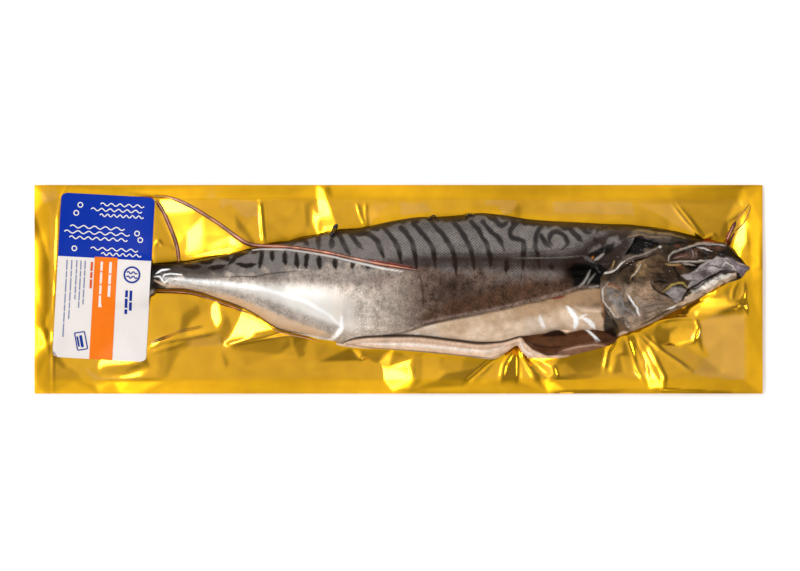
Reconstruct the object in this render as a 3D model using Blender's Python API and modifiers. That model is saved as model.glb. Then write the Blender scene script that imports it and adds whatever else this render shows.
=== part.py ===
"""Salted mackerel, vacuum-packed whole in a long pouch with a gold back and a clear front.

Metres, +Z up. +X runs along the pouch towards the fish's head and +Y towards the fish's back.
The pouch lies on its gold side, and the origin is on the floor under its middle.
"""

import math

import bmesh
import bpy
import numpy as np
from mathutils import Vector
from mathutils.bvhtree import BVHTree

# Driving dimensions. All lengths and places below are millimetres in the pouch's frame.
MM = 0.001
POUCH_LENGTH = 400.0
POUCH_WIDTH = 114.6
SEAL_WIDTH = 7.2
GOLD_THICKNESS = 0.5
FILM_THICKNESS = 0.5
GAP = 0.3
FISH_TAIL = -160.0
FISH_NOSE = 193.5
LABEL_WIDTH = 51.5
LABEL_LENGTH = 90.5
LABEL_CORNER = 3.0
LABEL_THICKNESS = 0.3
LABEL_CENTRE = (-162.0, 6.6)
LABEL_TURN = math.radians(-3.2)
# The label's paper spans dips in the film that are narrower than about twice this.
LABEL_REACH = 1.8

# Spacing of the mesh's stations along the fish's body and, closer, along its head.
HEAD_START = 98.0
FILM_STEPS = (3.8, 2.6)
WEB_STEPS = (15.0, 12.0)

# Outline of the fish seen from above: its back, and the lowest line of its belly.
BACK = (
    (-200, 12), (-159.6, 15), (-147.5, 17.2), (-134.9, 13.9), (-121.2, 14.4), (-101.9, 17.7),
    (-81.1, 21.8), (-50.8, 28.3), (-21.2, 33.3), (14, 39.7), (44.8, 41.9), (74.5, 38.1),
    (101.4, 36.4), (132.2, 34.4), (148.6, 32.3), (167.9, 26.9), (179.4, 26), (187.7, 17.4),
    (192.1, 12.8), (200, 12),
)
BELLY = (
    (-200, -3), (-159.6, -5.9), (-147.5, -7.6), (-132.7, -0.1), (-119, -0.3), (-99.7, -5.5),
    (-78.9, -13.9), (-65.1, -22.4), (-48.1, -26.2), (-29.4, -30.6), (-5.2, -33.1),
    (15.7, -34.8), (50.8, -38.5), (65.1, -31), (72.3, -37.9), (87.6, -37.9), (118.4, -29.7),
    (140.4, -18), (162.4, -6.9), (188.2, 5.6), (192.1, 10.2), (200, 10.6),
)
# Lower edge of the near side of the body. Below it lie the far belly flap and the lining.
SLIT = (
    (-200, -45), (-36, -45), (-29.4, -28.8), (-12.4, -26.4), (5.2, -26.1), (44.2, -30.1),
    (66.2, -26.7), (86, -22.9), (105.2, -22.9), (119.5, -27.8), (126, -45), (200, -45),
)
LEAST_FLAP = 1.6
# Height of the body, and of the flap beside it, over the line where the two webs meet.
BODY_RISE = (
    (-200, 0), (-165, 0), (-158, 1.8), (-146, 3), (-135, 5), (-120, 8.5), (-100, 12.5),
    (-75, 17.5), (-50, 22), (-20, 26.5), (10, 29), (50, 30), (90, 29.5), (120, 29),
    (140, 27), (160, 21), (175, 15), (186, 9), (191, 4.5), (193.5, 0), (200, 0),
)
FLAP_RISE = (
    (-200, 0), (-36, 0), (-20, 7), (40, 9), (62, 6), (75, 10), (105, 10), (122, 4), (128, 0),
    (200, 0),
)
# The flap runs on this far under the body. Relief fades out where the fish is lower than this.
FLAP_TUCK = 3.0
RELIEF_FADE = 8.0

# The gold web: the line along each side of the fish where it is pulled up, its height on that line,
# and its height under the fish.
WEB_BACK = (
    (-200, 12), (-160, 12.5), (-130, 12), (-100, 16), (-60, 25), (-20, 32), (15, 38), (45, 40),
    (75, 36.5), (105, 35), (135, 32.5), (160, 27), (180, 22), (192, 12.8), (200, 12),
)
WEB_BELLY = (
    (-200, -3), (-160, -4), (-130, 0), (-110, -1.5), (-80, -11.5), (-50, -24), (-20, -30),
    (15, -33), (50, -35), (80, -35), (100, -32), (120, -26), (140, -16.5), (160, -6.5),
    (180, 3), (192, 10), (200, 10.6),
)
WEB_PULL = (
    (-200, 2.4), (-180, 2.6), (-150, 3.4), (-110, 4.6), (-60, 5.6), (0, 6.2), (100, 6.2),
    (150, 5.2), (180, 4), (193, 3.2), (200, 2.8),
)
WEB_FLAT = ((-200, 2.4), (-180, 2), (-150, 0.8), (-120, 0), (155, 0), (180, 1.6), (200, 2.8))
BORDER_HEIGHT = 2.0
BORDER_WAVE = 0.7
BORDER_WAVELENGTH = 130.0
SEAL_STEP = 0.25
MARGIN_SAG = 0.35
# From the fish's middle out to the pull line, where the web leaves the floor and where it is steep.
WEB_LIFT_OFF, WEB_SHOULDER, SHOULDER_SHARE = 0.66, 0.86, 0.35

# Film folds: route, height and half-width. The first three run from the label over the tail.
FOLDS = (
    (((-133.5, 51), (-121, 49), (-106, 41), (-90, 30), (-75, 24.5)), 3.6, 5.5),
    (((-75, 24.5), (-49, 22.5), (-20, 15.5), (4, 11)), 1.4, 4.0),
    (((-133, 49), (-127, 37), (-121, 20)), 3.4, 5.0),
    (((-62, 27), (-66, 38), (-76, 49)), 2.2, 5.0),
    (((-142, -33), (-128, -27), (-107, -21.5), (-90, -13)), 2.6, 6.0),
    (((-97.4, -32), (-80, -28), (-62, -24)), 2.8, 5.5),
    (((-97.4, -32), (-112, -33), (-130, -31)), 1.8, 5.5),
    (((-40, -30), (-18, -39), (0, -33)), 2.2, 5.0),
    (((-14, -39), (2, -49)), 2.2, 5.5),
    (((9, -35), (10, -50)), 2.0, 5.0),
    (((-22, 34), (-24, 49)), 1.8, 5.0),
    (((65, -33), (52, -50)), 2.6, 5.0),
    (((66, -33), (76, -50)), 2.0, 5.0),
    (((118, -31), (111, -45)), 2.2, 4.6),
    (((128, -25), (134, -50)), 2.8, 5.0),
    (((130, -24), (160, -45)), 2.6, 5.0),
    (((139, -20), (163, -19), (160, -30), (142, -31)), 2.2, 5.0),
    (((177, 27), (184, 39), (194, 47)), 3.0, 5.0),
    (((189, 4), (184, -8)), 2.2, 4.6),
    (((168, 27), (150, 47)), 1.8, 6.0),
)
# Relief of the fish: route, height or depth, and half-width. The grooves are the flank's crease over
# the pale belly, the mouth and the dent over the cheek. The ridges are the edge of the inner gill
# cover, the cheek's upper edge and the upper jaw.
RELIEF = (
    (((-29, -28), (-12, -26), (6, -22.6), (30, -16.2), (56, -11.3), (91, -3.2), (104, 2)), -1.8, 5.0),
    (((152, -10), (158, -3), (166, 1.5), (178, 7), (188, 9)), -2.2, 3.6),
    (((124, 28), (131, 24), (144, 21)), -1.8, 4.2),
    (((133, 16), (126, 5), (126.5, -8), (131.5, -13.5)), 1.4, 4.2),
    (((111, 9), (122, 17), (143, 22)), 1.2, 4.0),
    (((160, 3), (170, 11), (181, 14), (190, 11)), 1.6, 4.4),
)
# The gill cover stands proud of the body along its hind edge, given as x for each y.
GILL_EDGE = (
    (-40, 128), (-21.2, 127), (-15.7, 118.2), (-9.8, 113.7), (-2, 111), (5, 111), (12.2, 116),
    (24.8, 124), (45, 130),
)
GILL_LIFT, GILL_RUN, GILL_FADE = 2.2, 3.5, 22.0
GILL_DITCH, DITCH_HALF = 2.4, 4.5
EYE_CENTRE, EYE_HALF, EYE_DEPTH, EYE_BULGE = (163.0, 19.0), (15.0, 5.0), 3.4, 1.6
FIN_PIT_CENTRE, FIN_PIT_HALF, FIN_PIT_DEPTH = (101.0, 9.5), (8.0, 7.0), 4.0


def smooth_curve(points):
    """Returns a function of x through these points, with no swing between them."""
    xs, ys = np.array(points, float).T
    step = np.diff(xs)
    slope = np.diff(ys) / step
    lean = np.zeros(len(xs))
    lean[0], lean[-1] = slope[0], slope[-1]
    before, after = slope[:-1], slope[1:]
    turns = before * after <= 0
    near, far = 2 * step[1:] + step[:-1], step[1:] + 2 * step[:-1]
    safe_before, safe_after = np.where(turns, 1.0, before), np.where(turns, 1.0, after)
    lean[1:-1] = np.where(turns, 0.0, (near + far) / (near / safe_before + far / safe_after))

    def value(x):
        x = np.clip(x, xs[0], xs[-1])
        i = np.clip(np.searchsorted(xs, x, side="right") - 1, 0, len(xs) - 2)
        t = (x - xs[i]) / step[i]
        rise = t * t * (3 - 2 * t)
        enter = step[i] * lean[i] * t * (1 - t) ** 2
        leave = step[i] * lean[i + 1] * t * t * (t - 1)
        return ys[i] * (1 - rise) + ys[i + 1] * rise + enter + leave

    return value


back_edge, belly_edge, slit_edge = smooth_curve(BACK), smooth_curve(BELLY), smooth_curve(SLIT)
body_rise, flap_rise = smooth_curve(BODY_RISE), smooth_curve(FLAP_RISE)
web_back, web_belly = smooth_curve(WEB_BACK), smooth_curve(WEB_BELLY)
web_pull, web_flat = smooth_curve(WEB_PULL), smooth_curve(WEB_FLAT)
gill_edge = smooth_curve(GILL_EDGE)


def distance_to(route, x, y):
    """Distance from each point to a route, and how far along the route it is, from 0 to 1."""
    route = np.array(route, float)
    lengths = np.hypot(*np.diff(route, axis=0).T)
    before = np.concatenate([[0], np.cumsum(lengths)])
    nearest, along = np.full(x.shape, np.inf), np.zeros(x.shape)
    for start, end, length, passed in zip(route, route[1:], lengths, before):
        way = (end - start) / length
        t = np.clip((x - start[0]) * way[0] + (y - start[1]) * way[1], 0, length)
        gap = np.hypot(x - start[0] - t * way[0], y - start[1] - t * way[1])
        closer = gap < nearest
        nearest = np.where(closer, gap, nearest)
        along = np.where(closer, (passed + t) / before[-1], along)
    return nearest, along


def ease(t):
    """Rises smoothly from 0 to 1 as t goes from 0 to 1."""
    t = np.clip(t, 0, 1)
    return t * t * (3 - 2 * t)


def fold(route, height, half_width, x, y):
    """A ridge, or with a negative height a groove, that tapers to both ends of its route."""
    distance, along = distance_to(route, x, y)
    taper = 0.2 + 0.8 * ease(np.minimum(along, 1 - along) / 0.2)
    return height * ease(1 - distance / half_width) * taper


def bump(centre, half, x, y):
    """A smooth round hump of height 1."""
    return np.exp(-(((x - centre[0]) / half[0]) ** 2 + ((y - centre[1]) / half[1]) ** 2))


def lower_body_edge(x):
    """The lower edge of the near side of the body, always a little above the belly line."""
    return np.maximum(slit_edge(x), belly_edge(x) + LEAST_FLAP)


def fish_relief(x, y):
    """The gill cover, eye, jaws and skin folds, as heights added to the body."""
    relief = sum(fold(*line, x, y) for line in RELIEF)
    past = x - gill_edge(y)
    relief = relief + GILL_LIFT * ease(past / GILL_RUN) * (1 - ease((past - GILL_RUN) / GILL_FADE))
    relief = relief - GILL_DITCH * ease(1 - np.abs(past + DITCH_HALF / 2) / DITCH_HALF)
    relief = relief - EYE_DEPTH * bump(EYE_CENTRE, EYE_HALF, x, y)
    relief = relief + EYE_BULGE * bump(EYE_CENTRE, (EYE_HALF[1], EYE_HALF[1] / 2), x, y)
    return relief - FIN_PIT_DEPTH * bump(FIN_PIT_CENTRE, FIN_PIT_HALF, x, y)


def dome(share):
    """Cross-section of the pressed fish: 0 at its edges, 1 in the middle, with full shoulders."""
    return (1 - np.abs(2 * np.clip(share, 0, 1) - 1) ** 2.5) ** 0.6


def fish_height(x, y):
    """Height of the fish in its film. Outside the fish it is below the web."""
    top, low, lowest = back_edge(x), lower_body_edge(x), belly_edge(x)
    body = body_rise(x) * dome((y - low) / (top - low))
    flap = flap_rise(x) * dome((y - lowest) / (low - lowest + FLAP_TUCK))
    shell = np.maximum(body, flap)
    relief = fish_relief(x, y) * np.clip(shell / RELIEF_FADE, 0, 1)
    inside = (y > lowest) & (y < top) & (x > FISH_TAIL) & (x < FISH_NOSE)
    return np.where(inside, web_pull(x) + shell + relief, -1.0)


def stations_along(body_step, head_step):
    """Stations along the pouch, with one spacing up to the head and another over it."""
    end = POUCH_LENGTH / 2
    body = np.linspace(-end, HEAD_START, round((end + HEAD_START) / body_step) + 1)
    head = np.linspace(HEAD_START, end, round((end - HEAD_START) / head_step) + 1)
    return np.concatenate([body, head[1:]])


def gold_web_places():
    """Places on the gold web's upper face, at [station along][station from back to belly]."""
    x = stations_along(*WEB_STEPS)
    border = BORDER_HEIGHT + BORDER_WAVE * np.sin(2 * math.pi * x / BORDER_WAVELENGTH)
    middle = (web_back(x) + web_belly(x)) / 2
    shoulder = web_flat(x) + SHOULDER_SHARE * (web_pull(x) - web_flat(x))
    sides = []
    for side, pull_line in ((1, web_back(x)), (-1, web_belly(x))):
        edge = np.full_like(x, side * POUCH_WIDTH / 2)
        seal = edge - side * SEAL_WIDTH
        half = pull_line - middle
        sides.append([
            (edge, border),
            (seal, border + SEAL_STEP),
            ((pull_line + seal) / 2, border + MARGIN_SAG * (web_pull(x) - border)),
            (pull_line, web_pull(x)),
            (middle + WEB_SHOULDER * half, shoulder),
            (middle + WEB_LIFT_OFF * half, web_flat(x)),
        ])
    across = sides[0] + sides[1][::-1]
    return np.array([(x, y, z + GOLD_THICKNESS) for y, z in across]).transpose(2, 0, 1)


def add_sheet(bm, place):
    """Adds a grid with its vertices at place[along][across] and returns them in that layout."""
    columns, rows = place.shape[:2]
    made = bmesh.ops.create_grid(bm, x_segments=columns - 1, y_segments=rows - 1, size=1.0)["verts"]
    made.sort(key=lambda vertex: (round(vertex.co.x, 5), -round(vertex.co.y, 5)))
    for vertex, point in zip(made, place.reshape(-1, 3)):
        vertex.co = Vector(point) * MM
    return [made[i * rows:(i + 1) * rows] for i in range(columns)]


def rim_of(grid):
    """The four edges of a sheet as lists of vertices, one after the other round it."""
    return (
        [column[0] for column in grid],
        grid[-1],
        [column[-1] for column in reversed(grid)],
        grid[0][::-1],
    )


def stitch(bm, upper, lower):
    """Fills the wall between two edges that end together but have unlike numbers of points."""
    i = j = 0
    while i < len(upper) - 1 or j < len(lower) - 1:
        share_upper = (i + 1) / (len(upper) - 1)
        share_lower = (j + 1) / (len(lower) - 1)
        if j == len(lower) - 1 or (i < len(upper) - 1 and share_upper <= share_lower):
            bm.faces.new((upper[i], upper[i + 1], lower[j]))
            i += 1
        else:
            bm.faces.new((upper[i], lower[j + 1], lower[j]))
            j += 1


def plain_material(name, colour, roughness, metallic):
    """A single-colour finish."""
    material = bpy.data.materials.new(name)
    material.use_nodes = True
    shader = material.node_tree.nodes["Principled BSDF"]
    shader.inputs["Base Color"].default_value = (*colour, 1.0)
    shader.inputs["Roughness"].default_value = roughness
    shader.inputs["Metallic"].default_value = metallic
    return material


def add_object(name, bm, material, parts):
    """Turns the bmesh into a named object among the parts, smooth apart from its sharp creases."""
    mesh = bpy.data.meshes.new(name)
    bm.to_mesh(mesh)
    bm.free()
    mesh.materials.append(material)
    mesh.shade_smooth()
    mesh.set_sharp_from_angle(angle=math.radians(35))
    made = bpy.data.objects.new(name, mesh)
    parts.objects.link(made)
    return made


def make_gold_web(parts):
    """The gold laminate that backs the pouch, dished under the fish and flat where it rests."""
    bm = bmesh.new()
    add_sheet(bm, gold_web_places())
    bmesh.ops.triangulate(bm, faces=bm.faces, quad_method="FIXED")
    surface = BVHTree.FromBMesh(bm)
    gold = plain_material("gold_laminate", (0.80, 0.50, 0.05), 0.25, 1.0)
    web = add_object("gold_back_web", bm, gold, parts)
    thicken = web.modifiers.new("laminate thickness", "SOLIDIFY")
    thicken.thickness = GOLD_THICKNESS * MM
    thicken.offset = -1.0
    return surface


def height_on(surface, x, y):
    """Height in millimetres of a surface under each point, by a ray from above."""
    down = Vector((0, 0, -1))
    # A ray exactly on the surface's rim could miss it, so each one starts a hair nearer the middle.
    inward = MM * 0.99999

    def drop(px, py):
        return surface.ray_cast(Vector((px * inward, py * inward, 1.0)), down)[0].z / MM

    return np.vectorize(drop)(x, y)


def clear_web_places():
    """Places of the clear web seen from above, at [station along][station from back to belly].

    The rows follow the fish: close together at its edges, with a pair of rows astride each outline.
    """
    x = stations_along(*FILM_STEPS)
    edge, seal = POUCH_WIDTH / 2, POUCH_WIDTH / 2 - SEAL_WIDTH
    top, low, lowest = back_edge(x), lower_body_edge(x), belly_edge(x)
    outside, just_inside = 0.35, 0.006
    body_shares = (1 - np.cos(math.pi * np.linspace(0, 1, 15))) / 2
    rows = [np.full_like(x, edge)]
    rows += [seal + share * (top - seal) for share in (0, 0.28, 0.55, 0.8)]
    rows += [top + outside]
    rows += [top + share * (low - top) for share in (just_inside, *body_shares[1:])]
    rows += [low + share * (lowest - low) for share in (0.3, 0.65, 0.97)]
    rows += [lowest - outside]
    rows += [lowest + share * (-seal - lowest) for share in (0.2, 0.45, 0.72, 1)]
    rows += [np.full_like(x, -edge)]
    y = np.array(rows).T
    return np.broadcast_to(x[:, None], y.shape), y


def make_clear_bag(parts, gold_surface):
    """The clear web drawn tight on the fish, solid with the fish down to the gold web."""
    x, y = clear_web_places()
    from_rim = np.minimum(POUCH_WIDTH / 2 - np.abs(y), POUCH_LENGTH / 2 - np.abs(x))
    folds = sum(fold(*line, x, y) for line in FOLDS) * np.clip(from_rim / SEAL_WIDTH, 0, 1)
    margin = height_on(gold_surface, x, y) + GAP + FILM_THICKNESS
    top = np.maximum(margin, fish_height(x, y)) + folds
    bm = bmesh.new()
    lower = add_sheet(bm, gold_web_places() + (0, 0, GAP))
    bmesh.ops.triangulate(bm, faces=bm.faces, quad_method="FIXED")
    upper = add_sheet(bm, np.stack([x, y, top], axis=-1))
    clear_surface = BVHTree.FromBMesh(bm)
    for upper_edge, lower_edge in zip(rim_of(upper), rim_of(lower)):
        stitch(bm, upper_edge, lower_edge)
    bmesh.ops.recalc_face_normals(bm, faces=bm.faces)
    skin = plain_material("fish_under_film", (0.16, 0.14, 0.13), 0.15, 0.0)
    add_object("clear_bag_with_mackerel", bm, skin, parts)
    return clear_surface


def make_label(parts, clear_surface):
    """The paper label, stuck on the clear web over the tail, with rounded corners."""
    half_width, half_length = LABEL_WIDTH / 2, LABEL_LENGTH / 2
    straight_end = half_length - LABEL_CORNER
    round_end = half_length - LABEL_CORNER * (1 - np.cos(np.linspace(0, math.pi / 2, 4)))[:-1]
    v = np.concatenate([round_end, np.linspace(straight_end, -straight_end, 20), -round_end[::-1]])
    past_straight = np.clip(np.abs(v) - straight_end, 0, LABEL_CORNER)
    reach = half_width - LABEL_CORNER + np.sqrt(LABEL_CORNER**2 - past_straight**2)
    u = np.linspace(-1, 1, 13)[:, None] * reach
    v = np.broadcast_to(v, u.shape)
    x = LABEL_CENTRE[0] + u * math.cos(LABEL_TURN) - v * math.sin(LABEL_TURN)
    y = LABEL_CENTRE[1] + u * math.sin(LABEL_TURN) + v * math.cos(LABEL_TURN)
    shifts = (-LABEL_REACH, 0, LABEL_REACH)
    film = [height_on(clear_surface, x + dx, y + dy) for dx in shifts for dy in shifts]
    bm = bmesh.new()
    add_sheet(bm, np.stack([x, y, np.max(film, axis=0) + GAP], axis=-1))
    label = add_object("label", bm, plain_material("printed_paper", (0.85, 0.85, 0.88), 0.4, 0.0), parts)
    thicken = label.modifiers.new("paper thickness", "SOLIDIFY")
    thicken.thickness = LABEL_THICKNESS * MM
    thicken.offset = 1.0


def main():
    for old in list(bpy.data.objects):
        bpy.data.objects.remove(old)
    parts = bpy.data.collections.new("packed salted mackerel")
    bpy.context.scene.collection.children.link(parts)
    gold_surface = make_gold_web(parts)
    clear_surface = make_clear_bag(parts, gold_surface)
    make_label(parts, clear_surface)


main()
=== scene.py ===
import math

import bpy
import numpy as np
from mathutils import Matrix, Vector
from mathutils.bvhtree import BVHTree
from mathutils.geometry import delaunay_2d_cdt


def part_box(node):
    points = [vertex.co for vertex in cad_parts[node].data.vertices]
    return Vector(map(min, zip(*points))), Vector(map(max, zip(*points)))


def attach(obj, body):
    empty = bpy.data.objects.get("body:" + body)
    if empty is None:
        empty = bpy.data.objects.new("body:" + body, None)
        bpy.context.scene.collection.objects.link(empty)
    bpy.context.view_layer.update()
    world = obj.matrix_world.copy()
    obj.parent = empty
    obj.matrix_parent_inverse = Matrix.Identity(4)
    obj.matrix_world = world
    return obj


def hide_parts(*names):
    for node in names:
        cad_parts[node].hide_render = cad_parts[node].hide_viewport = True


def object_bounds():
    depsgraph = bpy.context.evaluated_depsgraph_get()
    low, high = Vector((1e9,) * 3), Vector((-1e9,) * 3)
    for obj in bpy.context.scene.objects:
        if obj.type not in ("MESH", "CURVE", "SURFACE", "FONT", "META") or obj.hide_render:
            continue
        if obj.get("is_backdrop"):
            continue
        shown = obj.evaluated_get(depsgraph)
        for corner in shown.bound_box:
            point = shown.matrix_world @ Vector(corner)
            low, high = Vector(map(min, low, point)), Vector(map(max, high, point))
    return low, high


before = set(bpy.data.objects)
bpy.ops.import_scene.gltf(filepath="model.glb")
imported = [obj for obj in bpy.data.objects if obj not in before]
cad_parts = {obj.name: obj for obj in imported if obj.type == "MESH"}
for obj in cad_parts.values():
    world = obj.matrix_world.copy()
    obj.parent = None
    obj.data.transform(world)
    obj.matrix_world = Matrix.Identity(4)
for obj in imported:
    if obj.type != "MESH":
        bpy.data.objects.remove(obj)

cad_low, cad_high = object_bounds()

# Gold laminate back web. It is polyester film, metallised and lacquered gold, cut to a long oblong
# and heat-sealed to the clear web round its rim. The vacuum draws it up the fish's sides, so its
# margins are creased into small flat facets that each mirror another part of the studio.
# Sizes and places are in millimetres, and MM makes them metres.
MM = 0.001
SEAL_WIDTH = 7.2
GOLD_THICKNESS = 0.5
web_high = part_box("gold_back_web")[1]
half_length, half_width = web_high.x / MM, web_high.y / MM
seal_line = half_width - SEAL_WIDTH

# Outline of the fish seen from above: its back, and the lowest line of its belly.
BACK = (
    (-200, 12), (-159.6, 15), (-147.5, 17.2), (-134.9, 13.9), (-121.2, 14.4), (-101.9, 17.7),
    (-81.1, 21.8), (-69, 24.6), (-50.8, 28.3), (-37.1, 31.5), (-21.2, 33.3), (-3.6, 37.4),
    (14, 39.7), (24.5, 39.4), (33.8, 40.1), (44.8, 41.9), (55.8, 41), (66.8, 39.2), (74.5, 38.1),
    (101.4, 36.4), (132.2, 34.4), (148.6, 32.3), (167.9, 26.9), (179.4, 25.5), (187.7, 17.4),
    (192.1, 12.8), (200, 12),
)
BELLY = (
    (-200, -3), (-159.6, -5.9), (-147.5, -7.6), (-134.9, -3.2), (-132.7, -0.1), (-119, -0.3),
    (-109.6, -2), (-99.7, -5.5), (-88.7, -9.3), (-78.9, -13.9), (-65.1, -22.4), (-48.1, -26.2),
    (-37.6, -29.6), (-26.1, -32), (-5.2, -33.1), (15.7, -34.8), (38.7, -37.2), (50.8, -38.5),
    (59.1, -34.8), (65.1, -31), (67.9, -34.8), (72.3, -37.9), (87.6, -37.9), (98.1, -35.6),
    (112.4, -31.9), (118.4, -29.7), (121.2, -26), (130.5, -22.4), (140.4, -18), (151.4, -12.1),
    (162.4, -6.9), (177.2, 2), (188.2, 5.8), (192.1, 10.2), (200, 10.6),
)


def smooth_curve(points):
    """Returns a function of x through these points, with no swing between them."""
    xs, ys = np.array(points, float).T
    step = np.diff(xs)
    slope = np.diff(ys) / step
    lean = np.zeros(len(xs))
    lean[0], lean[-1] = slope[0], slope[-1]
    before, after = slope[:-1], slope[1:]
    turns = before * after <= 0
    near, far = 2 * step[1:] + step[:-1], step[1:] + 2 * step[:-1]
    safe_before, safe_after = np.where(turns, 1.0, before), np.where(turns, 1.0, after)
    lean[1:-1] = np.where(turns, 0.0, (near + far) / (near / safe_before + far / safe_after))

    def value(x):
        x = np.clip(x, xs[0], xs[-1])
        i = np.clip(np.searchsorted(xs, x, side="right") - 1, 0, len(xs) - 2)
        t = (x - xs[i]) / step[i]
        rise = t * t * (3 - 2 * t)
        enter = step[i] * lean[i] * t * (1 - t) ** 2
        leave = step[i] * lean[i + 1] * t * t * (t - 1)
        return ys[i] * (1 - rise) + ys[i + 1] * rise + enter + leave

    return value


def ease(t):
    """Rises smoothly from 0 to 1 as t goes from 0 to 1."""
    t = np.clip(t, 0, 1)
    return t * t * (3 - 2 * t)


def distance_to(route, x, y):
    """Distance from each point to a route, and how far along the route it is, from 0 to 1."""
    route = np.array(route, float)
    lengths = np.hypot(*np.diff(route, axis=0).T)
    before = np.concatenate([[0], np.cumsum(lengths)])
    nearest, along = np.full(x.shape, np.inf), np.zeros(x.shape)
    for start, end, length, passed in zip(route, route[1:], lengths, before):
        way = (end - start) / length
        t = np.clip((x - start[0]) * way[0] + (y - start[1]) * way[1], 0, length)
        gap = np.hypot(x - start[0] - t * way[0], y - start[1] - t * way[1])
        closer = gap < nearest
        nearest = np.where(closer, gap, nearest)
        along = np.where(closer, (passed + t) / before[-1], along)
    return nearest, along


def between(x, start, end, y, low, high):
    """Which points lie past the start and before the end, and between two edges."""
    return (x > start) & (x < end) & (y > low) & (y < high)


def only_near(points, reach, x, y, value):
    """What a function gives near these points, and 0 farther off than the reach."""
    (left, low), (right, high) = np.min(points, axis=0) - reach, np.max(points, axis=0) + reach
    near = between(x, left, right, y, low, high)
    found = np.zeros(x.shape)
    if near.any():
        found[near] = value(x[near], y[near])
    return found


def field(outline, soft, x, y):
    """1 inside a closed outline and 0 outside, with an edge this soft."""
    ring = outline + outline[:1]

    def value(x, y):
        inside = np.zeros(x.shape, bool)
        for (ax, ay), (bx, by) in zip(ring, ring[1:]):
            crosses = (ay > y) != (by > y)
            reach = ax + (y - ay) * (bx - ax) / (by - ay if by != ay else 1.0)
            inside ^= crosses & (x < reach)
        gap = distance_to(ring, x, y)[0]
        return ease(0.5 + np.where(inside, gap, -gap) / soft)

    return only_near(outline, soft, x, y, value)


# A drawn line and a ridge narrow to a share of their size over a share of their length at each end.
LINE_TIP, LINE_TAPER = 0.35, 0.25
RIDGE_TIP, RIDGE_TAPER = 0.2, 0.2


def stroke(route, half, soft, x, y, blunt=False):
    """1 on a line of this half-width and 0 off it, narrowing to its ends, or blunt where it starts."""
    def value(x, y):
        gap, along = distance_to(route, x, y)
        to_end = 1 - along if blunt else np.minimum(along, 1 - along)
        width = half * (LINE_TIP + (1 - LINE_TIP) * ease(to_end / LINE_TAPER))
        return ease((width + soft / 2 - gap) / soft)

    return only_near(route, half + soft, x, y, value)


def relief(ridges, x, y):
    """Height of smooth ridges and grooves, lower at both ends: each a route, a height and a half-width."""
    total = np.zeros(x.shape)
    for route, height, half in ridges:
        def value(x, y):
            gap, along = distance_to(route, x, y)
            taper = RIDGE_TIP + (1 - RIDGE_TIP) * ease(np.minimum(along, 1 - along) / RIDGE_TAPER)
            return height * ease(1 - gap / half) * taper

        total += only_near(route, half, x, y, value)
    return total


# Surfaces are worked out on one lattice over the pouch, and read off it for each mesh.
LATTICE_STEP = 0.6
lattice_x, lattice_y = np.meshgrid(
    np.linspace(-half_length, half_length, round(2 * half_length / LATTICE_STEP) + 1),
    np.linspace(-half_width, half_width, round(2 * half_width / LATTICE_STEP) + 1),
    indexing="ij",
)


def read_off(values, x, y):
    """The lattice's values at other places, straight between its points."""
    i = np.clip((x + half_length) / (2 * half_length), 0, 1) * (values.shape[0] - 1)
    j = np.clip((y + half_width) / (2 * half_width), 0, 1) * (values.shape[1] - 1)
    i0, j0 = np.minimum(i.astype(int), values.shape[0] - 2), np.minimum(j.astype(int), values.shape[1] - 2)
    s, t = i - i0, j - j0
    low = values[i0, j0] * (1 - s) + values[i0 + 1, j0] * s
    high = values[i0, j0 + 1] * (1 - s) + values[i0 + 1, j0 + 1] * s
    return low * (1 - t) + high * t


def blurred(values, radius):
    """Values on the lattice with anything narrower than this many millimetres smoothed away."""
    reach = max(1, round(2.5 * radius / LATTICE_STEP))
    kernel = np.exp(-0.5 * (np.arange(-reach, reach + 1) * LATTICE_STEP / radius) ** 2)
    kernel /= kernel.sum()
    for axis in (0, 1):
        pad = [(reach, reach) if a == axis else (0, 0) for a in (0, 1)]
        padded = np.pad(values, pad, mode="edge")
        values = np.apply_along_axis(np.convolve, axis, padded, kernel, mode="valid")
    return values


def spread(values, radius):
    """The highest value within this many millimetres of each point of the lattice."""
    reach = round(radius / LATTICE_STEP)
    for axis in (0, 1):
        values = np.max([np.roll(values, shift, axis) for shift in range(-reach, reach + 1)], axis=0)
    return values


# Rays are dropped this share of the way out, so that none misses the rim.
INWARD = 0.9999


def dropped_on(surface, x, y, start):
    """Heights at which rays from this height meet a surface, or 0 where they miss it."""
    def drop(px, py):
        hit = surface.ray_cast(Vector((px * INWARD, py * INWARD, start)), Vector((0, 0, -1)))[0]
        return hit.z if hit else 0.0

    return np.vectorize(drop, otypes=[float])(x, y)


def cad_height(name):
    """A CAD node's upper face on the lattice, in millimetres, with its facets smoothed away."""
    surface = BVHTree.FromObject(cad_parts[name], bpy.context.evaluated_depsgraph_get())
    every, facet = 3, 3.0
    x, y = lattice_x[::every, ::every] * MM, lattice_y[::every, ::every] * MM
    found = dropped_on(surface, x, y, 1.0) / MM
    return blurred(read_off(found, lattice_x, lattice_y), facet)


# The studio is dim towards this corner. Foil that rises towards it faces the lamp and shines, and foil
# that falls towards it looks olive.
DIM_TURN = math.radians(-15)
DIM_CORNER = np.array((math.cos(DIM_TURN), math.sin(DIM_TURN)))
DIM_LEFT = np.array((-DIM_CORNER[1], DIM_CORNER[0]))
# How firmly a facet keeps level across that way, beside its rise along it.
ACROSS_SHARE = 0.3
# Small facets between the chosen ones: spare corners tried, the least gap between corners, the
# corners merged, and the seeds of their places and of their leans.
SPARE_CORNERS, SPARE_GAP, MERGED_WITHIN = 900, 9.0, 0.5
CORNER_SEED, LEAN_SEED = 11, 12


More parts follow.
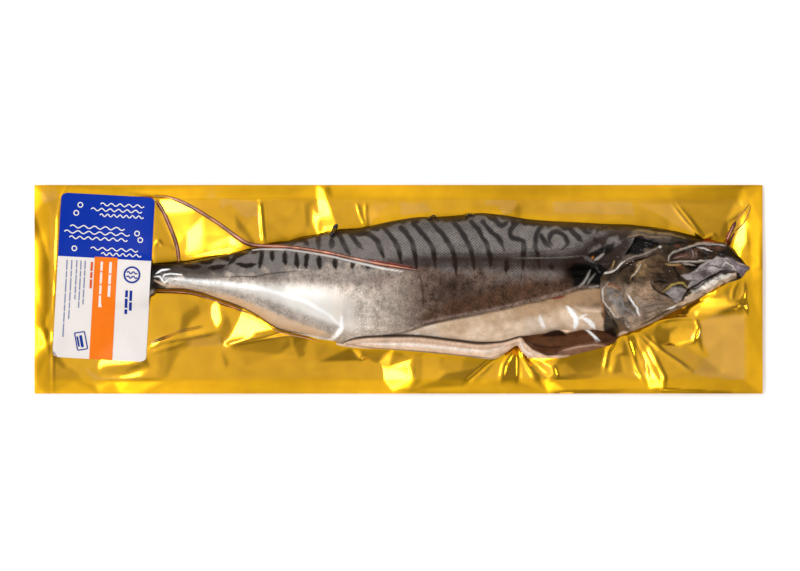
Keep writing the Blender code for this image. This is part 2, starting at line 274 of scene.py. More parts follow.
def facet_net(lines):
    """Corners and triangles of a crumpled sheet whose creases keep to these lines.

    Spare corners are scattered between the lines, no nearer to another corner than the least gap.
    """
    corners, edges = [], []
    for line in lines:
        edges += [(len(corners) + i, len(corners) + i + 1) for i in range(len(line) - 1)]
        corners += line
    chance = np.random.default_rng(CORNER_SEED)
    low, high = (-half_length, -half_width), (half_length, half_width)
    for place in chance.uniform(low, high, (SPARE_CORNERS, 2)):
        if np.hypot(*(np.array(corners) - place).T).min() > SPARE_GAP:
            corners.append(tuple(place))
    found = delaunay_2d_cdt([Vector(corner) for corner in corners], edges, [], 0, MERGED_WITHIN)
    return np.array([tuple(corner) for corner in found[0]]), np.array(found[2])


def facet_heights(corners, triangles, leans, weights, calm):
    """Heights of the corners that bring each triangle near its rise towards the dim corner.

    A calm corner is held near the sheet's own level.
    """
    (ax, ay), (bx, by), (cx, cy) = (corners[triangles[:, i]].T for i in range(3))
    double = (bx - ax) * (cy - ay) - (cx - ax) * (by - ay)
    share_x = np.stack([by - cy, cy - ay, ay - by], axis=1) / double[:, None]
    share_y = np.stack([cx - bx, ax - cx, bx - ax], axis=1) / double[:, None]
    rows, wanted = [], []
    for way, goal, firm in ((DIM_CORNER, leans, 1.0), (DIM_LEFT, 0 * leans, ACROSS_SHARE)):
        strength = firm * weights * np.sqrt(np.abs(double) / 2)
        row = np.zeros((len(triangles), len(corners)))
        shares = (way[0] * share_x + way[1] * share_y) * strength[:, None]
        np.add.at(row, (np.arange(len(triangles))[:, None], triangles), shares)
        rows.append(row)
        wanted.append(goal * strength)
    rows.append(np.diag(calm))
    wanted.append(np.zeros(len(corners)))
    return np.linalg.lstsq(np.concatenate(rows), np.concatenate(wanted), rcond=None)[0]


def flat_between(corners, heights, triangles):
    """Heights on the lattice, straight across each triangle."""
    places = np.column_stack([corners, heights]).tolist()
    return dropped_on(BVHTree.FromPolygons(places, triangles.tolist()), lattice_x, lattice_y, 50.0)


# Facets that the clear film also crosses as a veil.
LOW_TAIL_FACET = ((-117, -27), (-98, -24), (-97, -31), (-117, -32))
LOW_SEAL_FACET = ((-173, -42), (-165, -48), (-153, -49), (-141, -48), (-141, -49), (-168, -50))
BACK_FACET = ((-15, 47), (-5, 47), (-11, 41), (-16, 35), (-17, 41))
THROAT_FACET = ((143, -31), (155, -32), (167, -37), (178, -43), (177, -45), (166, -47), (158, -45))
# Facets of the foil that stand out: how steeply each one rises towards the dim corner, and its
# outline.
FACETS = (
    (0.20, ((-198, -21), (-194, -25), (-193, -31), (-198, -33))),
    (-0.10, ((-200, 16), (-190, 18), (-190, -20), (-200, -20))),
    (0.03, ((-200, 42), (-190, 42), (-190, 18), (-200, 16))),
    (-0.06, ((-199, -30), (-192, -36), (-191, -57), (-199, -57))),
    (0.12, ((-133, 50), (-125, 50), (-107, 41), (-92, 30), (-80, 21.5), (-92, 19), (-117, 17), (-121, 23),
        (-128, 42))),
    (-0.10, ((-116, 31), (-107, 29), (-103, 24), (-107, 20), (-116, 22))),
    (0.18, ((-132, 49), (-125, 50), (-111, 43), (-120, 42), (-129, 43))),
    (0.2, ((-118, 20), (-108, 19), (-93, 22), (-84, 22), (-93, 19), (-117, 17))),
    (-0.05, ((-134, 44), (-131, 40), (-122, 22), (-120, 14), (-134, 14))),
    (-0.15, ((-121, -25), (-119, -14), (-110, -8), (-109, -14), (-114, -18), (-117, -23))),
    (0.22, ((-103, -9), (-98, -11), (-97, -18), (-100, -22), (-103, -15))),
    (-0.06, LOW_TAIL_FACET),
    (0.16, ((-176, -39), (-165, -39), (-153, -41), (-142, -40), (-148, -42), (-162, -43), (-171, -42))),
    (-0.16, ((-174, -41), (-162, -43), (-148, -43), (-142, -44), (-153, -48), (-168, -47))),
    (0.12, LOW_SEAL_FACET),
    (0.05, ((-139, -36), (-135, -34), (-132, -39), (-133, -46), (-136, -43))),
    (-0.05, ((-132, -34), (-127, -34), (-128, -50), (-132, -49))),
    (0.12, ((-157, -51), (-147, -50), (-141, -57), (-153, -57))),
    (-0.10, ((-199, -51), (-178, -51), (-165, -57), (-199, -57))),
    (-0.13, ((-90, 41), (-84, 34), (-79, 26), (-82, 27), (-89, 34))),
    (-0.03, ((-73, 48), (-54, 48), (-50, 34), (-60, 27), (-73, 25))),
    (0.236, ((-45, 57), (-41, 55), (-39, 49), (-37, 44), (-34, 34), (-41, 30), (-43, 40), (-45, 49))),
    (-0.12, ((-52, 47), (-48, 46), (-48, 37), (-45, 30), (-51, 34))),
    (-0.09, ((-92, 57), (-66, 57), (-62, 51), (-92, 51))),
    (-0.07, ((-38, 57), (-8, 57), (-14, 51), (-36, 51))),
    (0.12, BACK_FACET),
    (0.10, ((-5, 47), (12, 48), (12, 45), (6, 42), (-5, 37), (-15, 34), (-11, 41))),
    (0.228, ((-86, -11), (-81, -12), (-64, -22), (-79, -25), (-96, -30), (-89, -19))),
    (0.14, ((-86, -11), (-80, -14), (-82, -18), (-89, -23), (-88, -17))),
    (-0.15, ((-92, -31), (-83, -27), (-60, -26), (-59, -31), (-66, -36), (-76, -35), (-92, -33.5))),
    (-0.12, ((-126, -29), (-114, -28), (-114, -31), (-119, -34), (-127, -34))),
    (-0.12, ((-96, -15), (-93, -15), (-91, -24), (-94, -29), (-98, -25))),
    (-0.14, ((-58, -26), (-58, -31), (-55, -38), (-51, -36), (-52, -33), (-56, -29))),
    (0.02, ((-94, -32), (-75, -39), (-44, -40), (-21, -39), (-17, -48), (-75, -48), (-93, -40))),
    (-0.16, ((-21, -33), (-20, -37), (-15, -39), (-9, -38), (-3, -33))),
    (0.26, ((-17, -40), (-12, -41), (-4, -42.5), (6, -42), (8, -46), (4, -53), (-4, -53), (-10, -48),
        (-15, -44))),
    (0.18, ((-4, -53), (4, -53), (5, -56), (-3, -56))),
    (-0.18, ((-3, -34), (2, -35), (7, -38), (-5, -42), (-11, -41))),
    (0.05, ((3, -37), (7, -38), (8, -46), (6, -42), (2, -42))),
    (-0.06, ((8, -36), (13, -36), (13, -50), (9, -50))),
    (0.03, ((13, -36), (23, -37), (23, -43), (21, -49), (13, -50))),
    (0.0, ((23, -44), (24, -38), (36, -38), (34, -45))),
    (-0.06, ((36, -38), (50, -39), (47, -43), (34, -45))),
    (-0.17, ((21, -50), (26, -46), (34, -45), (47, -43), (41, -50), (37, -53))),
    (0.05, ((55, -38), (60, -34), (57.5, -42), (56, -50), (44, -52), (49, -45))),
    (-0.14, ((65, -31), (59, -37), (58, -51), (66, -51), (66.3, -38))),
    (0.09, ((66.5, -31), (70, -39), (74, -50), (67, -50), (67, -40))),
    (-0.12, ((73, -44), (77, -45), (82, -49), (80, -53), (75, -51))),
    (0.286, ((71, -38), (78, -39), (85, -43), (86, -47), (82, -47), (76, -42))),
    (0.18, ((78, -50), (86, -51), (92, -56), (82, -57))),
    (-0.02, ((86, -41), (93, -41), (98, -46), (98, -50), (88, -48))),
    (-0.10, ((98, -46), (110, -48), (100, -50))),
    (-0.08, ((63, 44), (66, 47), (68, 44), (67, 40), (65, 39))),
    (0.05, ((130, 47), (154, 47), (159, 42), (162, 36), (166, 29), (149, 37), (143, 41))),
    (-0.05, ((157, 47), (185, 47), (180, 37), (177, 29), (169, 27), (163, 36))),
    (-0.12, ((149, 56), (187, 56), (187, 47), (153, 47))),
    (0.08, ((189, 56), (199, 56), (199, 37), (192, 38), (190, 44), (188, 51))),
    (0.14, ((192, 32), (199, 34), (199, 10), (194, 10), (193, 20))),
    (0.31, ((184, 34), (191, 35), (192, 27), (188, 20), (183, 22), (184, 27))),
    (0.08, ((194, 6), (199, 10), (199, -17), (192, -15), (191, -6))),
    (-0.10, ((192, -15), (199, -17), (199, -21), (192, -23))),
    (0.22, ((168, -5), (180, -4), (182, -7), (187, -9), (165, -11), (157, -14), (157, -10))),
    (0.08, ((144, -13), (157, -10), (157, -14), (150, -17), (144, -18))),
    (-0.07, ((174, 1), (181, 4), (190, 6), (190, -8), (183, -6), (180, -3.5), (175, -3))),
    (-0.14, ((164, -14), (174, -13), (190, -9), (190, -14), (174, -16), (166, -17))),
    (0.15, ((149, -25), (155, -24), (163, -23), (163, -26), (157, -30), (149, -29))),
    (-0.04, ((154, -19), (167, -18), (166, -21.5), (156, -22.5))),
    (-0.14, ((142, -19), (147, -19), (148, -24), (144, -28), (140, -25))),
    (-0.10, THROAT_FACET),
    (0.12, ((119, -31), (122, -32), (123, -35), (120, -36), (118, -34))),
    (0.12, ((114, -34), (118, -34), (118, -40), (115, -44), (113, -43))),
    (-0.16, ((119, -36.5), (122, -37), (124, -46), (117, -47), (118.5, -41))),
    (-0.05, ((124, -27), (129, -37), (129, -46), (125, -46), (123, -36))),
    (0.14, ((130, -35), (133.5, -36), (134, -46), (130, -47))),
    (0.307, ((133, -36), (140, -45), (146, -55), (138, -55), (135, -44))),
    (0.0, ((-135, -2), (-122, -5), (-119, -14), (-122, -23), (-135, -26))),
    (0.03, ((165, -19), (176, -17), (190, -16), (190, -50), (180, -46), (168, -36))),
    (0.02, ((-120, -34), (-98, -33), (-95, -44), (-118, -50))),
    (-0.03, ((147, -12), (163, -13), (165, -19), (155, -20), (144, -22))),
)
# Pleats of the foil, which run from the fish towards the seal: route, height and half-width.
PLEATS = (
    (((-76, 49), (-75, 37), (-74, 25)), 0.5, 1.4),
    (((-23, 48), (-21, 41), (-18, 34)), 0.35, 1.3),
    (((-18, 48), (-18, 41), (-17, 34)), 0.3, 1.1),
    (((54, -38), (50, -40), (42, -47), (36, -52)), -0.5, 2.0),
    (((65, -28), (62, -35), (58, -42), (56, -51)), 0.42, 2.4),
    (((66, -30), (69, -37), (72, -44), (77, -51)), 0.42, 2.2),
    (((66, -30), (66, -40), (66, -51)), -0.35, 2.0),
    (((119, -28), (115, -34), (113, -45)), 0.7, 1.6),
    (((125, -25), (129, -36), (131, -44), (135, -51)), 0.5, 1.7),
    (((129, -25), (132, -32), (136, -40), (137, -48)), -0.4, 1.7),
    (((130, -24), (138, -32), (146, -48), (145, -56)), 0.5, 1.9),
    (((133, -24), (146, -35), (161, -45)), 0.7, 1.5),
    (((150, 47), (158, 37), (168, 27)), 0.4, 1.4),
    (((153, 47), (161, 37), (168, 28)), 0.35, 1.2),
    (((-137, -33), (-131, -29), (-121, -27), (-99, -23)), 0.7, 1.5),
    (((-137, -35), (-120, -30), (-117, -29)), 0.4, 1.2),
    (((-98, -31), (-93, -30), (-79, -27), (-62, -24)), 0.8, 1.6),
    (((-182, 57), (-185, 51), (-187, 41), (-188, 14), (-190, -17), (-190, -57)), 0.35, 0.9),
    (((-134, 23), (-132, 27), (-130, 24), (-122, 22)), 0.4, 1.1),
    (((187, 5), (184, 0), (183, -5), (187, -6), (190, -3), (190, 4)), 0.4, 1.2),
    (((140, -18), (153, -16), (163, -16), (165, -21), (162, -29), (153, -31)), 0.5, 1.2),
    (((167, 27), (173, 30), (175, 28)), 0.4, 1.2),
)
# A spare facet's chance lean, and how much of that a chosen facet keeps.
SPARE_LEAN, KEPT_CHANCE = 0.03, 0.4
# How firmly a facet keeps its lean: a spare one, one under the fish, a plain one, and one that
# leans far enough to shine.
SPARE_WEIGHT, HIDDEN_WEIGHT, PLAIN_WEIGHT, SHINING_WEIGHT = 0.45, 0.05, 1.0, 6.0
SHINING_LEAN = 0.1
# How firmly a corner keeps the sheet's level: inside, and within a millimetre of the rim.
CALM, RIM_CALM, RIM_NEAR = 0.03, 0.6, 1.0
CREASE_ROUNDING = 0.45

cad_gold = cad_height("gold_back_web")
rim_ring = [(-half_length, -half_width), (half_length, -half_width), (half_length, half_width),
            (-half_length, half_width), (-half_length, -half_width)]
seal_ring = [(px * (1 - SEAL_WIDTH / half_length), py * (1 - SEAL_WIDTH / half_width))
             for px, py in rim_ring]
rings = [outline + outline[:1] for lean, outline in FACETS]
corners, triangles = facet_net([*rings, rim_ring, seal_ring, BACK, BELLY])
middle_x, middle_y = corners[triangles].mean(axis=1).T
leans = np.random.default_rng(LEAN_SEED).normal(0, SPARE_LEAN, len(triangles))
weights = np.full(len(triangles), SPARE_WEIGHT)
cad_lean = np.tensordot(DIM_CORNER, np.gradient(cad_gold, LATTICE_STEP), 1)
cad_lean = read_off(cad_lean, middle_x, middle_y)
for lean, outline in FACETS:
    inside = field(outline, 0.01, middle_x, middle_y) > 0.5
    leans[inside] = lean - cad_lean[inside] + KEPT_CHANCE * leans[inside]
    weights[inside] = SHINING_WEIGHT if lean > SHINING_LEAN else PLAIN_WEIGHT
back_edge, belly_edge = smooth_curve(BACK), smooth_curve(BELLY)
weights[(middle_y < back_edge(middle_x)) & (middle_y > belly_edge(middle_x))] = HIDDEN_WEIGHT
on_rim = (np.abs(corners[:, 0]) > half_length - RIM_NEAR) | (np.abs(corners[:, 1]) > half_width - RIM_NEAR)
heights = facet_heights(corners, triangles, leans, weights, np.where(on_rim, RIM_CALM, CALM))
foil = blurred(flat_between(corners, heights, triangles), CREASE_ROUNDING)
foil += relief(PLEATS, lattice_x, lattice_y)
gold_top = np.maximum(cad_gold + foil, GOLD_THICKNESS + 0.1)


def hex_colour(code):
    """An sRGB hex value as the linear colour that Blender works in."""
    parts = [int(code[i:i + 2], 16) / 255 for i in (1, 3, 5)]
    return tuple(c / 12.92 if c <= 0.04045 else ((c + 0.055) / 1.055) ** 2.4 for c in parts)


def add_node(tree, kind, sockets=(), **properties):
    """Adds a node, sets its properties, and fills its sockets, by name or in order.

    A socket takes a plain value, an output, or a node, whose first output it then reads.
    """
    node = tree.nodes.new(kind)
    for name, value in properties.items():
        setattr(node, name, value)
    for key, given in sockets.items() if isinstance(sockets, dict) else enumerate(sockets):
        if isinstance(given, bpy.types.Node):
            given = given.outputs[0]
        if isinstance(given, bpy.types.NodeSocket):
            tree.links.new(given, node.inputs[key])
        else:
            node.inputs[key].default_value = given
    return node


def new_material(name):
    """An empty material and its node tree."""
    material = bpy.data.materials.new(name)
    material.use_nodes = True
    material.node_tree.nodes.clear()
    return material, material.node_tree


def add_piece(name, places, faces, material, colours=None, values=None):
    """A finished piece from places in millimetres: named, dressed, smooth and riding on the pack."""
    mesh = bpy.data.meshes.new(name)
    mesh.from_pydata((places * MM).tolist(), [], faces)
    for label, data in (values or {}).items():
        mesh.attributes.new(label, "FLOAT", "POINT").data.foreach_set("value", np.ravel(data))
    if colours is not None:
        rgba = np.concatenate([colours, np.ones((len(colours), 1))], axis=1)
        mesh.attributes.new("paint", "FLOAT_COLOR", "POINT").data.foreach_set("color", rgba.ravel())
    mesh.materials.append(material)
    mesh.shade_smooth()
    mesh.set_sharp_from_angle(angle=math.radians(60))
    piece = bpy.data.objects.new(name, mesh)
    bpy.context.scene.collection.objects.link(piece)
    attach(piece, "root")
    return piece


def sheet_faces(columns, rows, first=0, turned=False):
    """Four-sided faces of a sheet whose points run row by row within each column."""
    corner = first + (np.arange(columns - 1)[:, None] * rows + np.arange(rows - 1)[None, :]).ravel()
    order = (0, 1, rows + 1, rows) if turned else (0, rows, rows + 1, 1)
    return np.stack([corner + step for step in order], axis=1).tolist()


def closed_shell(top, bottom):
    """Places and faces of a body between an upper and a lower sheet with equal columns.

    Rows run from the back (+Y) to the belly in both sheets.
    """
    columns, rows = top.shape[:2]
    low_rows = bottom.shape[1]
    first = columns * rows
    faces = sheet_faces(columns, rows, turned=True)
    faces += sheet_faces(columns, low_rows, first)
    upper = np.arange(columns) * rows
    lower = first + np.arange(columns) * low_rows
    for a, b, c, d in zip(upper, upper[1:], lower, lower[1:]):
        faces.append((int(a), int(b), int(d), int(c)))
        end, low_end = rows - 1, low_rows - 1
        faces.append((int(b + end), int(a + end), int(c + low_end), int(d + low_end)))
    start = list(range(rows)) + [first + i for i in reversed(range(low_rows))]
    last_upper, last_lower = int(upper[-1]), int(lower[-1])
    finish = [last_lower + i for i in range(low_rows)] + [last_upper + i for i in reversed(range(rows))]
    faces += [start[::-1], finish[::-1]]
    places = np.concatenate([top.reshape(-1, 3), bottom.reshape(-1, 3)])
    return places, faces


def rows_between(edges, counts, x):
    """Rows of a sheet from edge to edge, with this many from each edge to the next, ends included."""
    edges = [np.broadcast_to(edge, x.shape) for edge in edges]
    rows = edges[:1]
    for start, end, count in zip(edges, edges[1:], counts):
        rows += [start + share * (end - start) for share in np.linspace(0, 1, count)[1:]]
    return np.array(rows).T


GOLD_COLUMNS, SEAL_ROWS, MARGIN_ROWS, HIDDEN_ROWS, UNDER_ROWS = 534, 9, 50, 12, 30
GOLD_TUCK = 2.5
x = np.linspace(-half_length, half_length, GOLD_COLUMNS)
tuck = np.minimum(GOLD_TUCK, 0.4 * (back_edge(x) - belly_edge(x)))
back_start = back_edge(x) - tuck
belly_start = belly_edge(x) + tuck
y = rows_between((half_width, seal_line, back_start, belly_start, -seal_line, -half_width),
                 (SEAL_ROWS, MARGIN_ROWS, HIDDEN_ROWS, MARGIN_ROWS, SEAL_ROWS), x)
x = np.broadcast_to(x[:, None], y.shape)
top = np.stack([x, y, read_off(gold_top, x, y)], axis=-1)
under_rows = np.linspace(0, y.shape[1] - 1, UNDER_ROWS).round().astype(int)
bottom = top[:, under_rows] - (0, 0, GOLD_THICKNESS)
bottom[..., 2] = np.maximum(bottom[..., 2], 0.0)
places, faces = closed_shell(top, bottom)

gold, tree = new_material("metallised_polyester_gold")
# The lacquer over bright aluminium gives a clear yellow mirror, and the sealing bars press a fine
# dull grain into the rim.
GOLD_CLOUD = 9.0
coords = add_node(tree, "ShaderNodeTexCoord")
clouds = add_node(tree, "ShaderNodeTexNoise", {
    "Vector": coords.outputs["Object"], "Scale": 1 / (GOLD_CLOUD * MM), "Detail": 4.0})
tone = add_node(tree, "ShaderNodeValToRGB", {"Fac": clouds})
for stop, place, code in zip(tone.color_ramp.elements, (0.3, 0.7), ("#f0b014", "#fabb16")):
    stop.position, stop.color = place, (*hex_colour(code), 1)
dull = add_node(tree, "ShaderNodeAttribute", attribute_name="dull")
rough = add_node(tree, "ShaderNodeMapRange", {
    "Value": dull.outputs["Fac"], "To Min": 0.13, "To Max": 0.24})
bsdf = add_node(tree, "ShaderNodeBsdfPrincipled", {
    "Base Color": tone, "Metallic": 1.0, "Roughness": rough, "Coat Weight": 0.2, "Coat Roughness": 0.1})
add_node(tree, "ShaderNodeOutputMaterial", {"Surface": bsdf})

DULL_FADE = 0.8
rim_gap = np.minimum(half_width - np.abs(places[:, 1]), half_length - np.abs(places[:, 0]))
gold_web = add_piece("gold_laminate_web", places, faces, gold,
                     values={"dull": 1 - ease((rim_gap - SEAL_WIDTH) / DULL_FADE + 0.5)})
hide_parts("gold_back_web")

# Mackerel body. A whole gutted mackerel, salted and pressed flat on its side by the film, so its
# skin lies smooth: dark wavy bars on a grey back, a peppered flank and a silver belly.
FISH_TAIL, FISH_NOSE = -161.0, 193.5
SLIT = (
    (-200, -45), (-36, -45), (-29.4, -28.8), (-12.4, -26.4), (5.2, -26.1), (33.2, -28.9), (44.2, -30.1),
    (55.8, -29.3), (66.2, -26.7), (77.8, -25.1), (86, -22.9), (105.2, -22.9), (112.4, -23.4),
    (119.5, -27.8), (126, -45), (200, -45),
)
LEAST_FLAP = 1.5
BODY_RISE = (
    (-200, 0), (-165, 0), (-158, 1.8), (-146, 3), (-135, 5), (-120, 8.5), (-100, 12.5),
    (-75, 17.5), (-50, 22), (-20, 26.5), (10, 29), (50, 30), (90, 29.5), (120, 29),
    (140, 27), (160, 21), (175, 15), (186, 9), (191, 4.5), (193.5, 0), (200, 0),
)
GILL_EDGE = (
    (-40, 128), (-21.2, 127), (-15.7, 118.2), (-9.8, 113.7), (-2, 111), (5, 111), (12.2, 116),
    (24.8, 124), (45, 130),
)
slit_edge, body_rise, gill_edge = smooth_curve(SLIT), smooth_curve(BODY_RISE), smooth_curve(GILL_EDGE)
# The flank's lower edge, which overhangs the paler belly wall from the vent to the gills: its
# route, how far its lip stands out, over what width that fades, and the groove below it.
CREASE = (
    (-29, -29), (-12, -26.2), (5.5, -22.8), (16, -19.2), (30, -16.4), (44, -13.8), (55, -11.6), (70, -8.2),
    (80, -5.9), (90, -3.4), (98, -0.8), (106, 0.4),
)
crease_line = smooth_curve(CREASE)
CREASE_LIP, CREASE_FADE = 1.1, 9.0
CREASE_GROOVE, GROOVE_HALF = 0.9, 1.3
# The body's relief is at full height where the body is this thick.
FULL_RELIEF_AT = 8.0


def window(x, start, enter, end, leave):
    """1 from start to end, with a fade that follows each of them for these lengths."""
    return ease((x - start) / enter) * (1 - ease((x - end) / leave))


def lower_body_edge(x):
    """The lower edge of the near side of the body, always a little above the belly line."""
    return np.maximum(slit_edge(x), belly_edge(x) + 0.1 + LEAST_FLAP * ease((x + 46) / 10))


def dome(share):
    """Cross-section of the pressed fish: 0 at its edges, 1 in the middle, with full shoulders."""
    return (1 - np.abs(2 * np.clip(share, 0, 1) - 1) ** 2.5) ** 0.6


web_level = smooth_curve([
    (px, float(read_off(gold_top, np.array(px), back_edge(np.array(px, float)))))
    for px in range(-200, 201, 20)
])
# Bones and folds by the gills that are both raised and coloured.
GILL_ARCH = ((104.8, 10.4), (103, 6.5), (101, 3.4), (98.5, 1.4))
COLLAR_BONE = ((107, 15.8), (109.5, 17.2), (112.3, 19.6))
WALL_FOLD = ((84, -9), (90, -7), (95, -9), (100, -13), (110, -13))
# Low relief of the body, such as creases, edges of torn skin and the pit: route, height and
# half-width.
BODY_RELIEF = (
    (((-64, -23), (-52, -25), (-38, -28.5)), 0.9, 2.0),
    (((-38, -28), (-34, -25.5), (-30, -21), (-30, -16)), 0.8, 2.6),
    (((11, 7), (13, -1), (13.5, -9.5)), -0.3, 1.6),
    (((24, 18), (31, 6), (44, 4)), -0.3, 3.0),
    (((-98, 7.5), (-75, 7.5), (-56, 10), (-50, 9)), -0.25, 1.6),
    (((-134, 8), (-130, 10.5), (-124, 11)), 0.6, 1.2),
    (((-134, 6), (-129, 3), (-122, 5)), 0.7, 1.3),
    (((-133, 1), (-127, 5), (-124, 9)), -0.8, 1.3),
    (((-80, 21.5), (-61, 21), (-48, 19.5), (-21, 13.5), (2, 9.5)), 0.5, 1.4),
    (((90, 9), (98, 9.5), (106, 9.5), (112, 9)), -3.5, 5.5),
    (GILL_ARCH, 1.6, 1.2),
    (COLLAR_BONE, 1.2, 1.6),
    (((93, -9.5), (95, -12), (97.3, -15.5), (97.6, -19), (96.3, -22.4)), 0.9, 2.2),
    (((76, -14), (78, -18.5), (81, -22)), 0.6, 2.0),
    (((101, -16), (105, -18), (107.5, -21)), 0.8, 2.4),
    (WALL_FOLD, -0.5, 2.0),
)


def body_height(x, y):
    """Height of the near side of the body, from its tail to under the gill cover."""
    top, low = back_edge(x), lower_body_edge(x)
    rise = body_rise(x) * dome((y - low) / (top - low))
    strength = np.clip(rise / FULL_RELIEF_AT, 0, 1)
    over = y - crease_line(x)
    along = strength * window(x, -24, 20, 96, 14)
    rise = rise + along * CREASE_LIP * window(over, 0, 1.2, 0, CREASE_FADE)
    rise = rise - along * CREASE_GROOVE * np.exp(-(((over + CREASE_GROOVE) / GROOVE_HALF) ** 2))
    return web_level(x) + rise + strength * relief(BODY_RELIEF, x, y)


# Colours of the skin on the body and the belly flap. The glint is painted highlight, the bright silver
# partly so, the sheen painted reflection of the gold, and the pit's near black painted shade. The mottle
# and bar colours serve also as painted shade.
SKIN = dict(
    back="#716a66", back_tail="#5d544e", bar_and_shade="#140a06", upper_bar="#1d1817", dorsal="#110c0b",
    brown_back="#2c1f0f", flank="#675348", low_flank="#4c3425", mottle_and_shade="#25160e", mauve="#8d766c",
    silver="#b8aa9c", bright_silver_and_highlight="#dfdad3", grey="#82766e", shade="#a3968c", cream="#d9ccbf", painted_sheen="#cfb192",
    belly="#dfc5ab", belly_shade="#ab8a68", rim="#e3c3a8", lining="#53331f", lining_pink="#8a6350",
    pale_line="#f1ebe4", red="#6e1f19", pit_shade="#080504", bone="#a39a92", glint="#ffffff", amber="#a8672a",
)
BACK_FOOT = (
    (-165, 4), (-135, 5.6), (-120, 6.4), (-98, 7.4), (-75, 9.4), (-50, 10.8), (-25, 11.5), (10, 11),
    (40, 9), (70, 8), (110, 8), (125, 9),
)
back_foot = smooth_curve(BACK_FOOT)
# Dark bars across the back, from the dorsal edge down to the flank.
BARS = (
    ((-9, 35), (-4, 29), (0, 23), (1.5, 14)), ((1, 34), (5.5, 29.5), (8.5, 23.5), (10, 10.5)),
    ((8, 36), (13, 30.5), (18, 24.5), (19.5, 19), (20, 12)),
    ((18, 37), (23, 31.5), (28, 25.5), (30.5, 18.5), (31.5, 7.5)),
    ((30, 37), (35, 30.5), (38.5, 24.5), (40.5, 18.5), (41, 10.5)),
    ((40, 37), (44, 31.5), (48, 25.5), (50, 19), (50, 12)), ((46, 37), (50, 32), (55, 28), (58, 21)),
    ((53, 38), (56.5, 34), (60.5, 38)), ((59, 16.5), (59, 9)),
    ((65, 36), (61, 33), (60.5, 30), (63, 27.5), (68, 27), (69, 24), (68, 17), (67.5, 10.5)),
    ((79, 35), (75.5, 31), (74.5, 25.5), (75.5, 19), (77, 12)), ((78, 29), (80, 25.5), (83, 23)),
    ((84, 24), (82, 27), (83.5, 31), (87, 32), (91, 29.5), (93, 25), (89.5, 22)),
    ((93, 35), (96.5, 30), (100.5, 26)), ((100, 34), (103.5, 30.5), (107, 34)),
    ((111, 34), (108.5, 28.5), (107.5, 24)), ((83.5, 14), (84, 10.5)),
    ((-20, 31), (-15, 30), (-11, 25.5), (-8, 17)), ((-27, 32), (-24, 27), (-19.5, 22)),
    ((-33, 31.5), (-30, 24), (-26.5, 19)), ((-36.5, 27), (-37, 22.5)), ((-44, 29), (-43.5, 22)),
    ((-52, 28), (-50, 24)), ((-75.5, 23), (-75, 17), (-76, 12)), ((-69, 21.5), (-69, 15.5)),
    ((-62, 21), (-62, 13.5)), ((-56, 20.5), (-55.5, 11.5)), ((-50, 20), (-50.5, 11.5)),
    ((-43.5, 18.5), (-43, 11.5)), ((-35, 17), (-34, 11)), ((-25, 15), (-25.5, 11.5)),
    ((-16.5, 14), (-16.5, 11.5)), ((-80.5, 20), (-75, 23)),
    ((-93.5, 13.5), (-90.5, 16), (-89.5, 18.5), (-82.5, 20)), ((-89, 14), (-82.5, 12.5), (-78, 14)),
    ((-98, 17), (-95, 17.5), (-92.5, 15.5)), ((-110, 15.5), (-104, 14.5), (-101, 16.5)),
    ((-118, 13), (-113, 12), (-108, 12.5)), ((-104, 11.5), (-99, 12), (-95, 13.5)),
)
# Half-width and softness of a bar, how much of the skin's raggedness it follows, and how far up it
# starts where that end is blunt.
BAR_HALF, BAR_SOFT, BAR_WAVER, BLUNT_ABOVE = 1.4, 1.1, 0.5, 26
# Bright silver field, partly painted highlight, and the sheen under it, a painted reflection of the gold.
BRIGHT_SIDE = (
    (-128, 4.2), (-98, 3.2), (-75, 2.5), (-55, 2), (-36, 0), (-24, -6), (-23, -24), (-36, -21),
    (-48, -15.5), (-63, -9), (-79, -3), (-98, 1), (-128, 3),
)
GOLD_REFLECTION_BAND = (
    (-128, 2.5), (-98, -2.5), (-90, -4), (-75, -9.5), (-59, -16), (-44, -21), (-36, -25.5), (-48, -26),
    (-63, -22), (-75, -16), (-87, -9), (-98, -6), (-122, -0.5),
)
# Tints of the flank and the belly wall: colour, share, softness and outline. Those of the belly lie
# over the mauve patches of the silver side.
FLANK_TINTS = (
    ("silver", 1.0, 30, ((-140, 14), (-98, 16), (-28, 18), (0, 16), (2, -34), (-30, -38), (-140, -10))),
    ("grey", 0.92, 7, ((-130, 8), (-98, 7.5), (-75, 9), (-28, 12), (2, 11), (-8, 1), (-37, 1.5), (-67, 3.5),
        (-98, 5))),
    ("bright_silver_and_highlight", 0.95, 7, BRIGHT_SIDE),
    ("cream", 0.7, 9, ((-38, 0), (-18, 0), (-13, -10), (-13, -24), (-28, -27), (-36, -16))),
    ("shade", 0.85, 4, ((-98, 0.5), (-82, -3), (-63, -9.5), (-48, -15.5), (-36, -19), (-31, -20.5),
        (-38, -24.5), (-52, -21), (-67, -15), (-82, -8), (-98, -3))),
    ("painted_sheen", 0.95, 3, GOLD_REFLECTION_BAND),
    ("mottle_and_shade", 0.55, 5, ((18, 4), (24, 8), (34, 8), (40, 5), (46, -1), (50, -7), (41, -11), (28, -12),
        (19, -11))),
    ("mottle_and_shade", 0.5, 3, ((45, 3.5), (53, 2), (60, 2.5), (70, 1.5), (76, -1), (66, -2), (55, -2), (47, 0))),
    ("mottle_and_shade", 0.85, 7, ((86, 15), (113, 20), (113, 1), (104, 1), (92, 3))),
    ("low_flank", 0.85, 5, ((14, -13), (30, -6), (60, 2), (93, 8), (95, -1), (60, -10), (30, -16),
        (10, -21))),
    ("belly", 1.0, 1.4, ((4, -24.5), (10, -22), (22, -18.3), (38, -15), (55, -11.6), (70, -8.2), (80, -5.9),
        (90, -3.4), (98, -0.8), (110, -0.2), (118, -20), (112, -24), (86, -24), (66, -27), (44, -31),
        (10, -28))),
)
